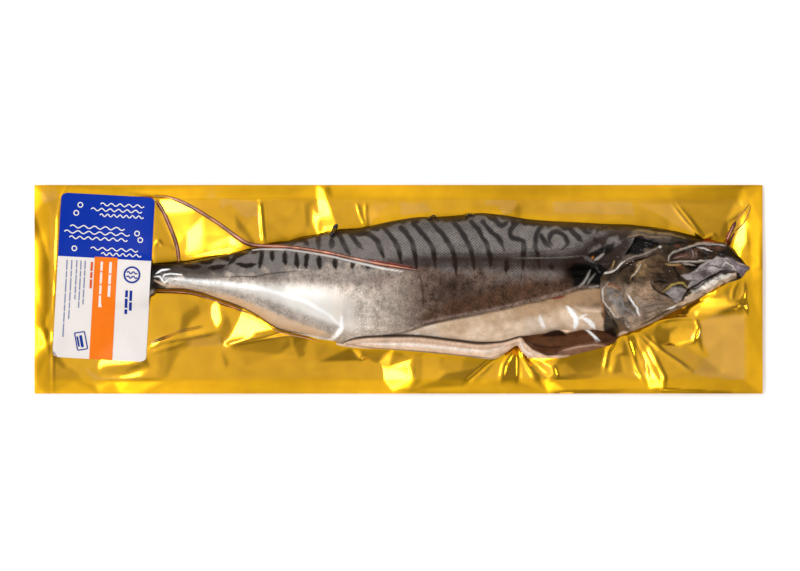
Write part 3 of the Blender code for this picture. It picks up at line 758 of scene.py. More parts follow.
BELLY_TINTS = (
    ("cream", 0.9, 5, ((-29, -24), (0, -23), (20, -19.5), (24, -30), (-28, -30))),
    ("belly_shade", 0.45, 6, ((8, -23), (24, -19), (50, -13), (44, -20), (24, -25))),
    ("belly_shade", 0.75, 5, ((66, -8), (85, -4), (98, -0.5), (110, 0), (112.5, -12), (104, -10), (96, -8),
        (84, -10))),
    ("low_flank", 0.85, 5, ((78, -7), (92, -3.5), (99, -1), (112, 0), (112, -10), (104, -10), (94, -9))),
    ("belly_shade", 0.4, 5, ((62, -10), (80, -7), (82, -14), (66, -16))),
    ("belly_shade", 0.6, 2, ((100, -14), (112, -12), (113, -22), (104, -23), (108, -19))),
    ("cream", 0.6, 5, ((69, -15), (74, -14), (80, -19), (79, -23), (71, -24))),
)
# Tints over the bars: the brown shoulder, the stripe along the side and pale patches by the gills.
BROWN_SHOULDER = (
    (90, 15), (100, 24), (106, 29), (116, 34), (128, 34), (128, 22), (114, 3), (104, 1), (90, 3),
)
SIDE_TINTS = (
    ("mottle_and_shade", 0.9, 8, BROWN_SHOULDER),
    ("mottle_and_shade", 0.75, 5, ((-6, 16), (10, 18), (30, 19.5), (60, 20), (96, 18.5), (100, 10), (60, 11),
        (10, 11.5), (-6, 13))),
    ("back", 0.85, 2, ((112.5, 23), (115, 28), (119.5, 29.5), (121.5, 26), (118.5, 23.5), (116, 22))),
    ("back", 0.6, 2, ((103, 20), (106.5, 23), (110, 24.5), (111, 22.5), (107, 20))),
    ("back", 0.6, 2, ((106, 29.5), (111, 31.5), (114, 31), (109, 28.5))),
    ("mottle_and_shade", 0.5, 6, ((72, 20), (100, 23), (104, 16), (100, 9), (72, 11))),
    ("mottle_and_shade", 0.6, 3, ((-131, 12), (-112, 13.5), (-92, 12.5), (-97, 8.6), (-112, 8), (-128, 8.2))),
)
# Hollows painted near black as painted shade: the torn pit behind the gill cover, the tail's stump under
# the label, the slit over the pit, and the gap between the gill cover and the belly wall.
PITS = (
    ("pit_shade", 1.0, 2.2, ((93, 11.5), (96, 14), (104, 15), (111, 14), (114, 11), (112, 4), (108, 2.2),
        (104, 1.4), (100, 0), (96, 1.5), (95.5, 6))),
    ("pit_shade", 0.9, 2.5, ((-140, 16), (-130.5, 15), (-130, 9), (-131, 0), (-140, -2))),
    ("pit_shade", 0.9, 1.6, ((99, 17), (104, 19.5), (108, 21), (113, 24), (118, 26), (118, 22), (113, 18),
        (108, 15.5))),
    ("pit_shade", 0.95, 1.2, ((107.5, 1), (109.4, -2), (111, -8), (111.6, -14), (111.8, -20), (114, -27),
        (122, -27), (118, -12), (113, 1))),
)
# Lines on the body's skin: colour, share, half-width, softness and route.
PALE_LINE = (
    (-80, 21.5), (-75, 22), (-61, 22), (-48.5, 20.3), (-35, 17.8), (-21, 14.4), (-8, 11.3), (2, 9.7),
)
SKIN_LINES = (
    ("pale_line", 1.0, 0.55, 0.95, PALE_LINE),
    ("glint", 0.95, 1.1, 1.6, ((-58, -24.5), (-50, -26), (-38, -28.5), (-34, -25.5), (-31, -21),
        (-31, -15))),
    ("glint", 0.8, 0.9, 2.5, ((-128, 6), (-98, 3.5), (-75, 0.5), (-52, -6), (-38, -14), (-32, -20))),
    ("shade", 0.7, 0.7, 1.6, ((-120, 3.5), (-98, 0), (-80, -6), (-66, -12.5), (-50, -19.5), (-38, -23.5))),
    ("mottle_and_shade", 0.9, 0.55, 0.8, ((-125, 0), (-110, -2.4), (-98, -5.8), (-89, -9.2), (-80, -13.4),
        (-72, -18.2), (-65, -22.3))),
    ("bar_and_shade", 0.85, 1.9, 2.0, ((-138, 12), (-124, 13))),
    ("bar_and_shade", 0.8, 2.0, 2.0, ((-136, 2.5), (-131, 1), (-127, 3))),
    # Painted highlights on the crumpled tail stump.
    ("pale_line", 0.9, 0.5, 0.7, ((-134, 7), (-131, 7), (-128.5, 3.5), (-125.5, 6))),
    ("glint", 0.95, 0.5, 0.6, ((-133, 8.5), (-130, 10.5), (-125.5, 11))),
    ("glint", 0.9, 0.4, 0.6, ((-130, 5), (-128.5, 8), (-125, 8.5), (-119, 8))),
    ("painted_sheen", 0.9, 0.6, 0.8, ((-134, 5), (-129, 2.5), (-120, 1))),
    ("mottle_and_shade", 0.8, 0.8, 1.2, ((-29.5, -29), (-12, -26.3), (8, -25.4))),
    ("bright_silver_and_highlight", 0.8, 0.6, 0.9, ((8, -25.5), (11.5, -24))),
    ("red", 0.95, 0.6, 0.8, ((83.5, -5.2), (91, -3.8))),
    ("mottle_and_shade", 0.7, 0.6, 1.2, ((11.5, 8), (13, 2), (13.5, -4), (13.5, -10))),
    ("upper_bar", 0.45, 0.4, 1.0, ((10, 20.3), (20, 19.4), (34, 19.2), (50, 19), (70, 19.8), (84, 21.2),
        (97, 22.6))),
    ("mottle_and_shade", 0.45, 1.2, 1.6, ((14, 16.5), (34, 16), (50, 16.3), (70, 16), (88, 17.5))),
    ("mottle_and_shade", 0.8, 0.3, 0.6, ((-98, 7), (-92, 6.6), (-86, 7.2), (-80, 6.8), (-75, 7.6), (-70, 8.6),
        (-65, 9.2), (-60, 9.6), (-56, 10.2), (-50, 9.4))),
    ("glint", 0.9, 1.2, 1.3, ((101, -16), (104.2, -17.4), (107.6, -21.4))),
    ("glint", 0.7, 0.9, 1.8, ((77.4, -14.5), (78, -17.5), (80, -21))),
    ("glint", 0.95, 1.3, 1.1, ((92.4, -9.5), (94.6, -12.4), (97, -15.8), (97.2, -19), (96.4, -22.4))),
    ("pale_line", 0.12, 0.3, 0.8, ((62, 17.2), (70, 17), (84, 17.2), (94, 17.6), (100, 18.4))),
    ("glint", 0.8, 0.4, 0.8, ((97.5, -17), (101, -14.5), (103.5, -13.5))),
    ("belly_shade", 0.6, 0.7, 1.4, WALL_FOLD),
    ("amber", 0.7, 0.35, 0.7, ((110, -1), (111.3, -6), (112, -12), (112.4, -18))),
    ("bone", 0.9, 0.55, 0.7, GILL_ARCH),
    ("bone", 0.7, 0.4, 0.7, ((107.5, 8.5), (104.5, 5), (103, 2.6))),
    ("bone", 0.8, 0.6, 0.7, ((104, 0.9), (107.5, 1.3), (110, 2))),
    ("bone", 0.8, 0.7, 0.9, COLLAR_BONE),
    ("back", 0.5, 1.0, 1.6, ((101, 18), (104, 16.5), (106, 14.8))),
    ("amber", 0.8, 0.6, 0.7, ((105.6, 16.5), (106.4, 18))),
)


def plain(code, shape):
    """One colour at every point of a sheet."""
    return np.broadcast_to(hex_colour(code), (*shape, 3))


def layered(paint, colours, layers):
    """Paint under layers, each the name of a colour and its share at each point."""
    for name, share in layers:
        paint = paint + share[..., None] * (np.array(hex_colour(colours[name])) - paint)
    return paint


def tint_layers(tints, x, y):
    """Layers from tints, each a colour, share, softness and outline."""
    return [(name, share * field(outline, soft, x, y)) for name, share, soft, outline in tints]


def line_layers(lines, x, y):
    """Layers from lines, each a colour, share, half-width, softness and route."""
    return [(name, share * stroke(route, half, soft, x, y)) for name, share, half, soft, route in lines]


def wrinkles(size, seed):
    """Soft random hollows and swellings about this many millimetres across, on the lattice."""
    chance = np.random.default_rng(seed)
    noise = blurred(chance.normal(0, 1, lattice_x.shape), size / 2.5)
    return noise / noise.std()


def mirrored(values, limit):
    """Values folded back into the span from minus this limit to the limit."""
    return np.abs((values + limit) % (4 * limit) - 2 * limit) - limit


def crease_lines(texture, x, y, turn, stretch, half):
    """1 on the fine lines of creased skin and 0 between them, drawn out along a direction in degrees."""
    c, s = math.cos(math.radians(turn)), math.sin(math.radians(turn))
    u = mirrored((x * c + y * s) / stretch, half_length)
    v = mirrored(y * c - x * s, half_width)
    return np.exp(-((read_off(texture, u, v) / half) ** 2))


tiny_wrinkles = wrinkles(1.8, 20)
fine_wrinkles = wrinkles(3.2, 21)
broad_wrinkles = wrinkles(8.0, 22)


def patches(x, y):
    """Uneven patches of the skin, from about -1 to 1."""
    return 0.6 * read_off(fine_wrinkles, x, y) + 0.6 * read_off(broad_wrinkles, x, y)


def ragged(x, y, tiny, fine_x, fine_y, shift):
    """Places moved a little by the wrinkles, so that edges drawn at them waver."""
    moved_x = x + tiny * read_off(tiny_wrinkles, x, y) + fine_x * read_off(fine_wrinkles, x, y)
    other = x + shift
    moved_y = y + tiny * read_off(tiny_wrinkles, other, y) + fine_y * read_off(fine_wrinkles, other, y)
    return moved_x, moved_y


def rounded(route):
    """A route with its corners cut twice, which leaves a smooth curve between the same ends."""
    route = np.array(route, float)
    for _ in range(2):
        cut = np.stack([0.75 * route[:-1] + 0.25 * route[1:], 0.25 * route[:-1] + 0.75 * route[1:]], axis=1)
        route = np.concatenate([route[:1], cut.reshape(-1, 2), route[-1:]])
    return route


def skin_paint(x, y):
    """Colour of the skin, with painted light and shade, and how strongly its scales, speckle and silver
    show.
    """
    patchy = patches(x, y)
    above_foot, below_back = y - back_foot(x), back_edge(x) - y
    on_back = ease((above_foot + 2.5 * patchy) / (5 + 6 * ease((x - 5) / 40)) + 0.5)
    toward_tail = 1 - ease((x + 112) / 40)
    paint = layered(plain(SKIN["flank"], x.shape), SKIN, [
        ("mottle_and_shade", np.clip(0.12 + 0.38 * patchy, 0, 0.7)),
        *tint_layers(FLANK_TINTS, x, y),
        # The silver side darkens in small mauve patches on its way to the brown flank.
        ("mauve", window(x, -40, 45, 16, 14) * ease((y + 24) / 8) * np.clip(0.1 + 0.45 * patchy, 0, 0.8)),
        *tint_layers(BELLY_TINTS, x, y),
        ("back", on_back * (1 - 0.25 * ease((x - 30) / 40) * (1 - ease((above_foot - 6) / 8)))),
        ("back_tail", 0.75 * on_back * toward_tail),
    ])
    high_up = ease((y - 29) / 6) * (1 - ease((x - 38) / 14))
    paint = paint * ((1 + 0.09 * on_back * patchy) * (1 - 0.3 * high_up))[..., None]

    # The bars are brown by the side and near black by the spine.
    ragged_x, ragged_y = ragged(x, y, 0.25, 0.35, 0.0, 60)
    bar_x, bar_y = x + BAR_WAVER * (ragged_x - x), y + BAR_WAVER * (ragged_y - y)
    bars = [stroke(rounded(route), BAR_HALF, BAR_SOFT, bar_x, bar_y, blunt=route[0][1] > BLUNT_ABOVE)
            for route in BARS]
    bars = np.max(bars, axis=0)
    by_spine = ease((y - 19) / 8)
    waver = 0.9 * read_off(fine_wrinkles, x, y) + 0.9 * read_off(broad_wrinkles, x, y)
    below_crease = crease_line(x) - y
    in_crease = window(x, -20, 30, 100, 10)
    on_wall = 1 - ease((0.5 - below_crease) / 1.0)
    under_lip = (0.35 + 0.35 * ease((x - 52) / 14)) * ease((x - 20) / 30)
    under_lip = under_lip * (1 - ease((below_crease - 3) / 9))
    paint = layered(paint, SKIN, [
        ("dorsal", 0.92 * ease((3.3 + waver - below_back) / 1.6) * ease((x + 80) / 30)),
        ("brown_back", 0.6 * ease((x - 60) / 12) * ease((3.6 - below_back) / 1.5)),
        ("brown_back", 0.5 * toward_tail * ease((4 - below_back) / 2)),
        ("bar_and_shade", 0.95 * bars * (1 - by_spine)),
        ("upper_bar", 0.92 * bars * by_spine),
        ("dorsal", 0.9 * ease((1.6 - below_back) / 1.0)),
        *tint_layers(SIDE_TINTS + PITS, ragged_x, ragged_y),
        # Painted shade: a dark line along the belly edge towards the tail.
        ("mottle_and_shade", 0.85 * (1 - ease((y - belly_edge(x) - 0.6) / 0.7)) * (1 - ease((x + 40) / 8))),
        ("mauve", 0.6 * in_crease * np.exp(-(((below_crease + 1.6) / 0.8) ** 2))),
        # Painted shade: a dark line in the groove under the flank's lip.
        ("mottle_and_shade", 0.85 * in_crease * np.exp(-(((below_crease - 0.1) / 0.55) ** 2))),
        ("belly_shade", on_wall * ease((x + 10) / 20) * np.clip(0.12 + under_lip + 0.22 * patchy, 0, 0.85)),
        *line_layers(SKIN_LINES, x, y),
    ])

    scales = on_back * (1 - 0.92 * bars) * ease((x + 75) / 40) * ease((below_back - 1.5) / 2)
    scales = scales * (1 - 0.8 * field(BROWN_SHOULDER, 6, x, y))
    # The speckle fades under the painted highlight and the painted reflection.
    painted_light_field = np.maximum(field(BRIGHT_SIDE, 7, x, y), 0.9 * field(GOLD_REFLECTION_BAND, 5, x, y))
    speckle = (0.8 - 0.5 * on_back) * (1 - 0.93 * painted_light_field) * (1 - 0.75 * on_wall * ease((x + 30) / 20))
    speckle = speckle * (0.75 + 0.25 * ease((x + 5) / 30)) * (1 - 0.8 * bars)
    torn = np.max([field(outline, soft, x, y) for _, _, soft, outline in PITS], axis=0)
    bare = np.maximum(torn, stroke(PALE_LINE, 1.0, 0.8, x, y))
    speckle, scales = speckle * (1 - 0.85 * bare), scales * (1 - bare)
    silver = (1 - on_back) * (1 - ease((x + 10) / 26)) * ease((x + 132) / 10)
    return paint, {"scales": scales, "speckle": speckle, "silver": silver}


def fish_lattice(start, finish, columns, rows, first_row, last_row):
    """Places seen from above on a sheet between two edges, with its rows bunched at both edges."""
    share = (1 - np.cos(math.pi * np.linspace(0, 1, rows))) / 2
    share = 0.5 * share + 0.5 * np.linspace(0, 1, rows)
    along = np.linspace(0, 1, columns)[:, None]
    x = start(share)[None, :] * (1 - along) + finish(share)[None, :] * along
    y = first_row(x) + share[None, :] * (last_row(x) - first_row(x))
    return x, y


skin, tree = new_material("salted_mackerel_skin")
# Tiny scales give the back a fine slanting net, pigment cells pepper the flank, and guanine
# crystals under the skin of the side make it a dull mirror. The scales are drawn as coarse as the
# photo shows them.
SCALE_PITCH, SCALE_SLANT = 1.3, math.radians(38)
coords = add_node(tree, "ShaderNodeTexCoord")
own = {name: add_node(tree, "ShaderNodeAttribute", attribute_name=name)
       for name in ("paint", "scales", "speckle", "silver")}
specks = []
for size, detail, stretch, low, high in (
    (0.9, 2.0, (1.0, 0.75, 0.6), -0.5, 0.4),
    (3.6, 3.0, (1.0, 0.8, 0.7), -0.55, 0.42),
):
    drawn_out = add_node(tree, "ShaderNodeMapping", {"Vector": coords.outputs["Object"], "Scale": stretch})
    noise = add_node(tree, "ShaderNodeTexNoise", {
        "Vector": drawn_out, "Scale": 1 / (size * MM), "Detail": detail})
    specks.append(add_node(tree, "ShaderNodeMapRange", {
        "Value": noise, "From Min": 0.3, "From Max": 0.7, "To Min": low, "To Max": high}))
slanted = add_node(tree, "ShaderNodeMapping", {
    "Vector": coords.outputs["Object"], "Rotation": (0, 0, SCALE_SLANT), "Scale": (1.0, 1.2, 0.001)})
net = add_node(tree, "ShaderNodeTexVoronoi", {
    "Vector": slanted, "Scale": 1 / (SCALE_PITCH * MM), "Randomness": 0.15})
net = add_node(tree, "ShaderNodeMapRange", {
    "Value": net, "From Min": 0.1, "From Max": 0.55, "To Min": 0.56, "To Max": -0.38})
scale_part = add_node(tree, "ShaderNodeMath", (net, own["scales"].outputs["Fac"]), operation="MULTIPLY")
speckle_part = add_node(tree, "ShaderNodeMath", specks, operation="ADD")
speckle_part = add_node(tree, "ShaderNodeMath", (speckle_part, own["speckle"].outputs["Fac"]),
                        operation="MULTIPLY")
gain = add_node(tree, "ShaderNodeMath", (scale_part, speckle_part), operation="ADD")
gain = add_node(tree, "ShaderNodeMath", (gain, 1.0), operation="ADD")
colour = add_node(tree, "ShaderNodeVectorMath", {0: own["paint"], "Scale": gain}, operation="SCALE")
mirror = add_node(tree, "ShaderNodeMath", (own["silver"].outputs["Fac"], 0.3), operation="MULTIPLY")
bump = add_node(tree, "ShaderNodeBump", {"Height": gain, "Strength": 0.4, "Distance": 0.15 * MM})
bsdf = add_node(tree, "ShaderNodeBsdfPrincipled", {
    "Base Color": colour, "Metallic": mirror, "Roughness": 0.4, "Specular IOR Level": 0.05, "Normal": bump})
add_node(tree, "ShaderNodeOutputMaterial", {"Surface": bsdf})

# The under-side of the fish lies this far above the gold web, and the fish is at least this thick.
REST_GAP, LEAST_FLESH = 0.3, 0.2


def fish_piece(name, x, y, height, under_rows, paint, under_colour, values):
    """A closed piece of the fish, with paint and values on its upper sheet and a plain under-side."""
    top = np.stack([x, y, height], axis=-1)
    bottom = top[:, np.linspace(0, x.shape[1] - 1, under_rows).round().astype(int)]
    resting = read_off(gold_top, bottom[..., 0], bottom[..., 1]) + REST_GAP
    bottom[..., 2] = np.minimum(resting, bottom[..., 2] - LEAST_FLESH)
    places, faces = closed_shell(top, bottom)
    hidden = len(places) - x.size
    colours = np.concatenate([paint.reshape(-1, 3), plain(under_colour, (hidden,))])
    values = {label: np.concatenate([np.broadcast_to(value, x.shape).ravel(), np.zeros(hidden)])
              for label, value in values.items()}
    add_piece(name, places, faces, skin, colours, values)


BODY_COLUMNS, BODY_ROWS, BODY_UNDER_ROWS = 520, 124, 8
# The body runs on under the gill cover by this much.
UNDER_GILL = 4.0


def gill_line(share):
    """Where the gill cover's hind edge crosses each row of the fish's lattice."""
    by_gills = 115.0
    return gill_edge(back_edge(by_gills) + share * (belly_edge(by_gills) - back_edge(by_gills)))


x, y = fish_lattice(lambda share: FISH_TAIL + 0 * share, lambda share: gill_line(share) + UNDER_GILL,
                    BODY_COLUMNS, BODY_ROWS, back_edge, lower_body_edge)
paint, values = skin_paint(x, y)
fish_piece("mackerel_body", x, y, body_height(x, y), BODY_UNDER_ROWS, paint, SKIN["silver"], values)

# Belly flap. The far wall of the slit belly lies outside the near one as a pale rounded strip, and
# by the gills it opens into a trough that shows its dark lining.
FLAP_COLUMNS, FLAP_ROWS, FLAP_UNDER_ROWS = 250, 40, 6
FLAP_START, FLAP_END = -34.0, 127.0
FLAP_TUCK, FLAP_HOLLOW = 3.0, 3.4
flap_rise = smooth_curve((
    (-200, 0), (-36, 0), (-20, 7), (40, 9), (62, 6), (75, 10), (105, 10), (122, 4), (128, 0),
    (200, 0),
))


def flap_height(x, y):
    """Height of the far belly wall, a rounded strip that turns into an open trough by the gills."""
    low, lowest = lower_body_edge(x), belly_edge(x)
    share = (y - lowest) / (low - lowest + FLAP_TUCK)
    hollow = FLAP_HOLLOW * window(x, 66, 6, 112, 8) * window(share, 0.16, 0.22, 0.75, 0.25)
    return web_level(x) + flap_rise(x) * dome(share) - hollow


# Tints and lines of the belly flap, in the same terms as those of the body.
FLAP_TINTS = (
    ("lining", 1.0, 1.2, ((67, -26), (74, -24), (81, -24), (88, -22), (92, -24), (100, -22), (112, -20),
        (120, -24), (124, -30), (111, -34), (101, -36), (90, -37), (82, -37), (73, -33), (69, -29))),
    ("bar_and_shade", 0.85, 1.2, ((78, -26), (82, -23), (86, -22), (90, -23), (92, -25.5), (85, -26))),
    ("lining_pink", 0.8, 2.0, ((88, -33.5), (97, -31), (109, -28.5), (114, -31), (97, -37), (87, -37))),
)
FLAP_LINES = (
    ("rim", 0.9, 0.9, 1.0, ((66.5, -27), (67.5, -31), (70.5, -35), (75, -37), (82.5, -37.6),
        (93.5, -36.4))),
    ("pale_line", 0.7, 0.4, 0.7, ((66.5, -28.5), (68.5, -33.5), (73.5, -36.5))),
    ("mottle_and_shade", 0.7, 0.5, 0.8, ((70, -28), (76, -31), (84, -32), (92, -31))),
    # Painted highlight along the length of the rounded flap.
    ("pale_line", 0.6, 0.7, 1.4, ((-20, -29.6), (-8, -30.2), (8, -30.4), (30, -32.6), (48, -34.2),
        (58, -31.5))),
    ("glint", 0.9, 0.5, 0.8, ((101, -20.8), (105, -23.4), (110.5, -28.5))),
    ("glint", 0.5, 0.35, 0.8, ((103, -22.6), (106.5, -25.4), (109, -29))),
    ("rim", 0.5, 0.35, 0.9, ((90, -33.6), (98, -31.6), (108, -30.4), (114, -31.4))),
    ("bar_and_shade", 0.6, 0.5, 0.9, ((-29, -30), (-12, -32.6), (15, -34.4), (38, -36.8), (51, -38.1), (59, -34.5))),
)
x, y = fish_lattice(lambda share: FLAP_START + 0 * share, lambda share: FLAP_END + 0 * share,
                    FLAP_COLUMNS, FLAP_ROWS, lambda x: lower_body_edge(x) + FLAP_TUCK, belly_edge)
below_slit = lower_body_edge(x) - y
paint = layered(plain(SKIN["rim"], x.shape), SKIN, [
    # Painted shade: the flap is dark along its top, under the slit's edge.
    ("bar_and_shade", 0.9 * ease((0.9 - below_slit) / 1.2) * (1 - ease((x - 66) / 6))),
    ("lining_pink", 0.35 * np.exp(-(((below_slit - 2.4) / 0.8) ** 2))),
    *tint_layers(FLAP_TINTS, x, y),
    *line_layers(FLAP_LINES, x, y),
])
paint = paint * (1 + (0.05 + 0.12 * ease((x - 70) / 6)) * patches(x, y))[..., None]
fish_piece("mackerel_belly_flap", x, y, flap_height(x, y), FLAP_UNDER_ROWS, paint, SKIN["lining"],
           {"scales": 0.0, "speckle": 0.25})

# Mackerel head. The gill cover, cheek, jaws and sunken eye are bone under thin dark skin that the
# film presses into hollows and creases, and the cover's hind edge stands proud of the body.
HEAD_COLUMNS, HEAD_ROWS, HEAD_UNDER_ROWS = 250, 190, 8
# The gill cover stands this proud, fades over this length, and starts this far behind its edge.
GILL_LIFT, GILL_FADE, BEHIND_GILL = 2.2, 22.0, 3.5
# Relief and creases are at full height where the head is this thick.
FULL_HEAD_RELIEF_AT = 6.0
# Outlines of plates and hollows that are both shaped and coloured.
EYE_WINDOW = (
    (148.5, 16), (149.3, 18.7), (152, 20.6), (156, 21.4), (160, 22.6), (164, 23.8), (170, 24), (177, 23.6),
    (180.3, 23), (176, 21.5), (172.6, 19), (169.5, 17), (164, 16), (157, 15.8),
)
MAXILLA = (
    (154.8, 7.5), (159.3, 8), (163.9, 11.1), (168.5, 15.2), (172.6, 17.2), (180.7, 17.5), (184.8, 15.2),
    (186, 10.6), (180.7, 10.8), (175.6, 9.3), (170.5, 6.7), (166.5, 4.2), (162.4, 1.6), (159.3, 0.1),
    (158.3, 1.4), (160.4, 4), (156.8, 5.5),
)
LOWER_JAW = (
    (151.7, -8.2), (156.8, -5.2), (162.4, -1.1), (168.5, 3.5), (175.6, 7.5), (180.7, 9.6), (185.3, 9.1),
    (185.3, 6.5), (180.7, 3.5), (175.6, 0.4), (168.5, -3.2), (162.4, -6.2), (155.3, -9.8),
)
GREY_PLATE = (
    (145.6, -2.6), (149.7, 0.9), (153, 1.2), (157.3, 0.4), (157.8, -1.1), (155.8, -3.7), (153.7, -6.7),
    (150.2, -4.7),
)
CRESCENT = (
    (118, 16), (121, 22), (125, 27), (130, 28.5), (137, 27.5), (142.5, 25.5), (143, 24), (138, 22),
    (131, 19.5), (126, 18.5), (122, 17), (119, 15),
)
CRESCENT_SHELF = (
    (115, 9.3), (118.8, 9.8), (121.5, 12.5), (126, 14.8), (132.1, 17.3), (137.5, 19.3), (142, 22.3),
    (141, 23.6), (136, 21.8), (130, 19.6), (124, 17.6), (120.5, 16), (118.5, 12.5), (115, 11.5),
)
CHEEK = (
    (130, 14), (135, 17.5), (143, 18.5), (147, 14.5), (155.5, 12.5), (157, 8), (153, 4.5), (149, 2.5),
    (144.5, -1.8), (140.7, 0.3), (138, 3), (133, 7), (129, 9),
)
CHEEK_PLATE = (
    (126.5, 4), (130, 6.5), (137.7, 3.4), (140.7, -0.3), (143.8, -2.2), (149.4, -4.6), (151.5, -7.5),
    (148, -9), (140, -8), (133, -6), (128, -3),
)
GILL_PLATE = (
    (127, -3), (133, -6), (140, -8), (150, -8.5), (150, -10.8), (144.5, -13.3), (138.3, -17), (132.7, -20),
    (129, -17), (129.5, -9),
)
# Plates and hollows of the head: outline, height and softness.
HEAD_PLATES = (
    (EYE_WINDOW, -2.6, 2.0), (MAXILLA, 1.3, 2.0), (LOWER_JAW, 0.9, 1.8), (GREY_PLATE, 1.0, 1.4),
    (CRESCENT, -3.0, 3.0), (CRESCENT_SHELF, 0.9, 1.4), (CHEEK_PLATE, 0.6, 2.0), (GILL_PLATE, 0.4, 2.0),
    (((166, 16.5), (161.5, 18), (163, 20.5), (167, 21), (170, 19)), 1.2, 3.0),
)
# Rims and grooves of the head that are both shaped and coloured.
CHEEK_RIM = ((125.9, 4.6), (127.5, 7.5), (129.6, 10.2), (132.1, 14.5), (135.2, 16.4))
CHEEK_GROOVE = ((137.7, 3.4), (140.7, -0.3), (143.8, -2.2), (149.4, -4.6))
CHEEK_BRANCH = ((137.7, 3.4), (143.2, 4.3), (147, 3.4))
MOUTH_CORNER = ((144.5, -1.6), (149.4, 2.2), (153.2, 3.2), (155.8, 3.5), (158.8, 0.9))
EYE_LOWER_RIM = ((148.1, 14.9), (155.3, 15.2), (165.4, 15.2), (170.5, 16.2))
UNDER_EYE = ((155.3, 14.2), (158, 13.4), (162.4, 12.8))
LIP_SPUR = ((176.6, 11.1), (179.2, 14.7), (183.3, 12.8), (185.3, 10.6))
COVER_GROOVE = ((121.6, -1.6), (121, -5.3), (122.2, -9), (125.9, -12), (129.6, -14.5))
# Ridges and grooves of the head: route, height and half-width.
HEAD_RELIEF = (
    (((116.3, 11.4), (118, 17), (119.7, 21.3), (122.8, 24.7), (126, 28), (131, 29.6), (140, 29.3)), 1.0,
        1.4),
    (((110.8, 9), (113.7, 9), (116.6, 9.3), (118.8, 10.8), (121, 13.6), (123.4, 15.4)), 1.2, 1.6),
    (CHEEK_RIM, 1.1, 1.5),
    (((125.9, -2.8), (127.1, -5.9), (129.6, -9.6), (132.1, -14.2)), 1.4, 1.5),
    (CHEEK_GROOVE, -1.3, 1.4),
    (CHEEK_BRANCH, -0.9, 1.2),
    (MOUTH_CORNER, 0.9, 1.1),
    (((147.6, 15.7), (148.1, 18.2), (150.2, 20.3), (155.3, 21.8), (162.9, 24.3), (167.5, 25.3),
        (172.6, 25.4)), 1.1, 1.3),
    (EYE_LOWER_RIM, 0.9, 1.1),
    (UNDER_EYE, 0.6, 0.9),
    (((157.8, 12.1), (161.4, 11.6), (165.4, 13.1)), -1.6, 1.5),
    (((155.3, -4.7), (156.8, -2.6), (158.8, 0.1), (162.9, 2.1), (166.5, 4.7), (171.6, 7.3), (175.6, 9.6),
        (180.2, 10.7)), -1.9, 1.0),
    (((151.7, -10), (156, -9.8), (162.4, -6.8), (168.5, -3.8), (175.6, -0.3), (181, 2.8), (185.3, 5.5)),
        -0.9, 1.2),
    (((159.3, 8), (163.9, 10.5), (168.5, 14.5)), 0.5, 1.0),
    (((163.9, 1.4), (166.5, 3.5), (168.5, 5.5)), 0.4, 0.9),
    (((165, 8.6), (168, 7.5), (171.5, 7.8)), -0.7, 1.6),
    (LIP_SPUR, 0.4, 0.8),
    (((168, 13), (172, 13.5), (176, 11.8)), -0.5, 1.2),
    (((180.7, 22.3), (184, 19), (187.8, 15.4), (191, 13.4)), -0.8, 1.4),
    (((114.3, 2.8), (117, 3.3), (120, 1.5), (121.6, -1.6)), 0.6, 1.0),
    (COVER_GROOVE, -0.8, 1.3),
    (((117, -3), (118.5, -7), (121, -11), (125, -15)), 0.5, 1.4),
    (((132.7, -20), (138.3, -17), (144.5, -13.3), (149.4, -10.9)), -1.1, 1.2),
    (((118.5, -18), (122, -19.3), (126, -20.7)), 0.8, 1.2),
    (((125, 29), (132, 31), (140, 31.5), (149, 30), (158.5, 27)), 0.4, 1.3),
    (((144, 25.5), (150, 26), (158, 24.6)), -0.6, 1.3),
    (((168.5, 24.6), (174, 24.9), (180.2, 24)), 0.6, 0.9),
    (((164.4, 23), (168.5, 22), (171.6, 20.5)), 0.7, 1.0),
)
# Creases of the head's skin: direction in degrees, how drawn out, half-width and depth.
HEAD_CREASES = ((-25, 3.2, 0.14, 0.3), (35, 2.4, 0.08, 0.16))


def head_creases(x, y):
    """1 on the fine creases of the head's skin, which are closest on the bony plates."""
    lines = [depth * crease_lines(fine_wrinkles, x, y, turn, stretch, half)
             for turn, stretch, half, depth in HEAD_CREASES]
    return np.max(lines, axis=0) / max(depth for _, _, _, depth in HEAD_CREASES)


def head_height(x, y):
    """Height of the head from the gill cover's hind edge to the nose."""
    top, lowest = back_edge(x), belly_edge(x)
    rise = body_rise(x) * dome((y - lowest) / (top - lowest))
    strength = np.clip(rise / FULL_HEAD_RELIEF_AT, 0, 1)
    past = x - gill_edge(y)
    # The cover's edge lies flatter by the nape, and the sheet drops under the body behind it.
    lifted = GILL_LIFT * (0.15 + 0.85 * (1 - ease((y - 17) / 8)))
    rise = rise + lifted * strength * window(past, -1.2, 1.6, 3.5, GILL_FADE)
    rise = rise - 6.0 * (1 - ease((past + 2.0) / 1.4))
    for outline, height, soft in HEAD_PLATES:
        rise = rise + strength * height * field(outline, soft, x, y)
    rise = rise + strength * relief(HEAD_RELIEF, x, y)
    skin_folds = 0.18 * read_off(fine_wrinkles, x, y) + 0.25 * read_off(broad_wrinkles, x, y)
    skin_folds = skin_folds - 0.3 * head_creases(x, y)
    return web_level(x) + np.maximum(rise + strength * skin_folds, 0)


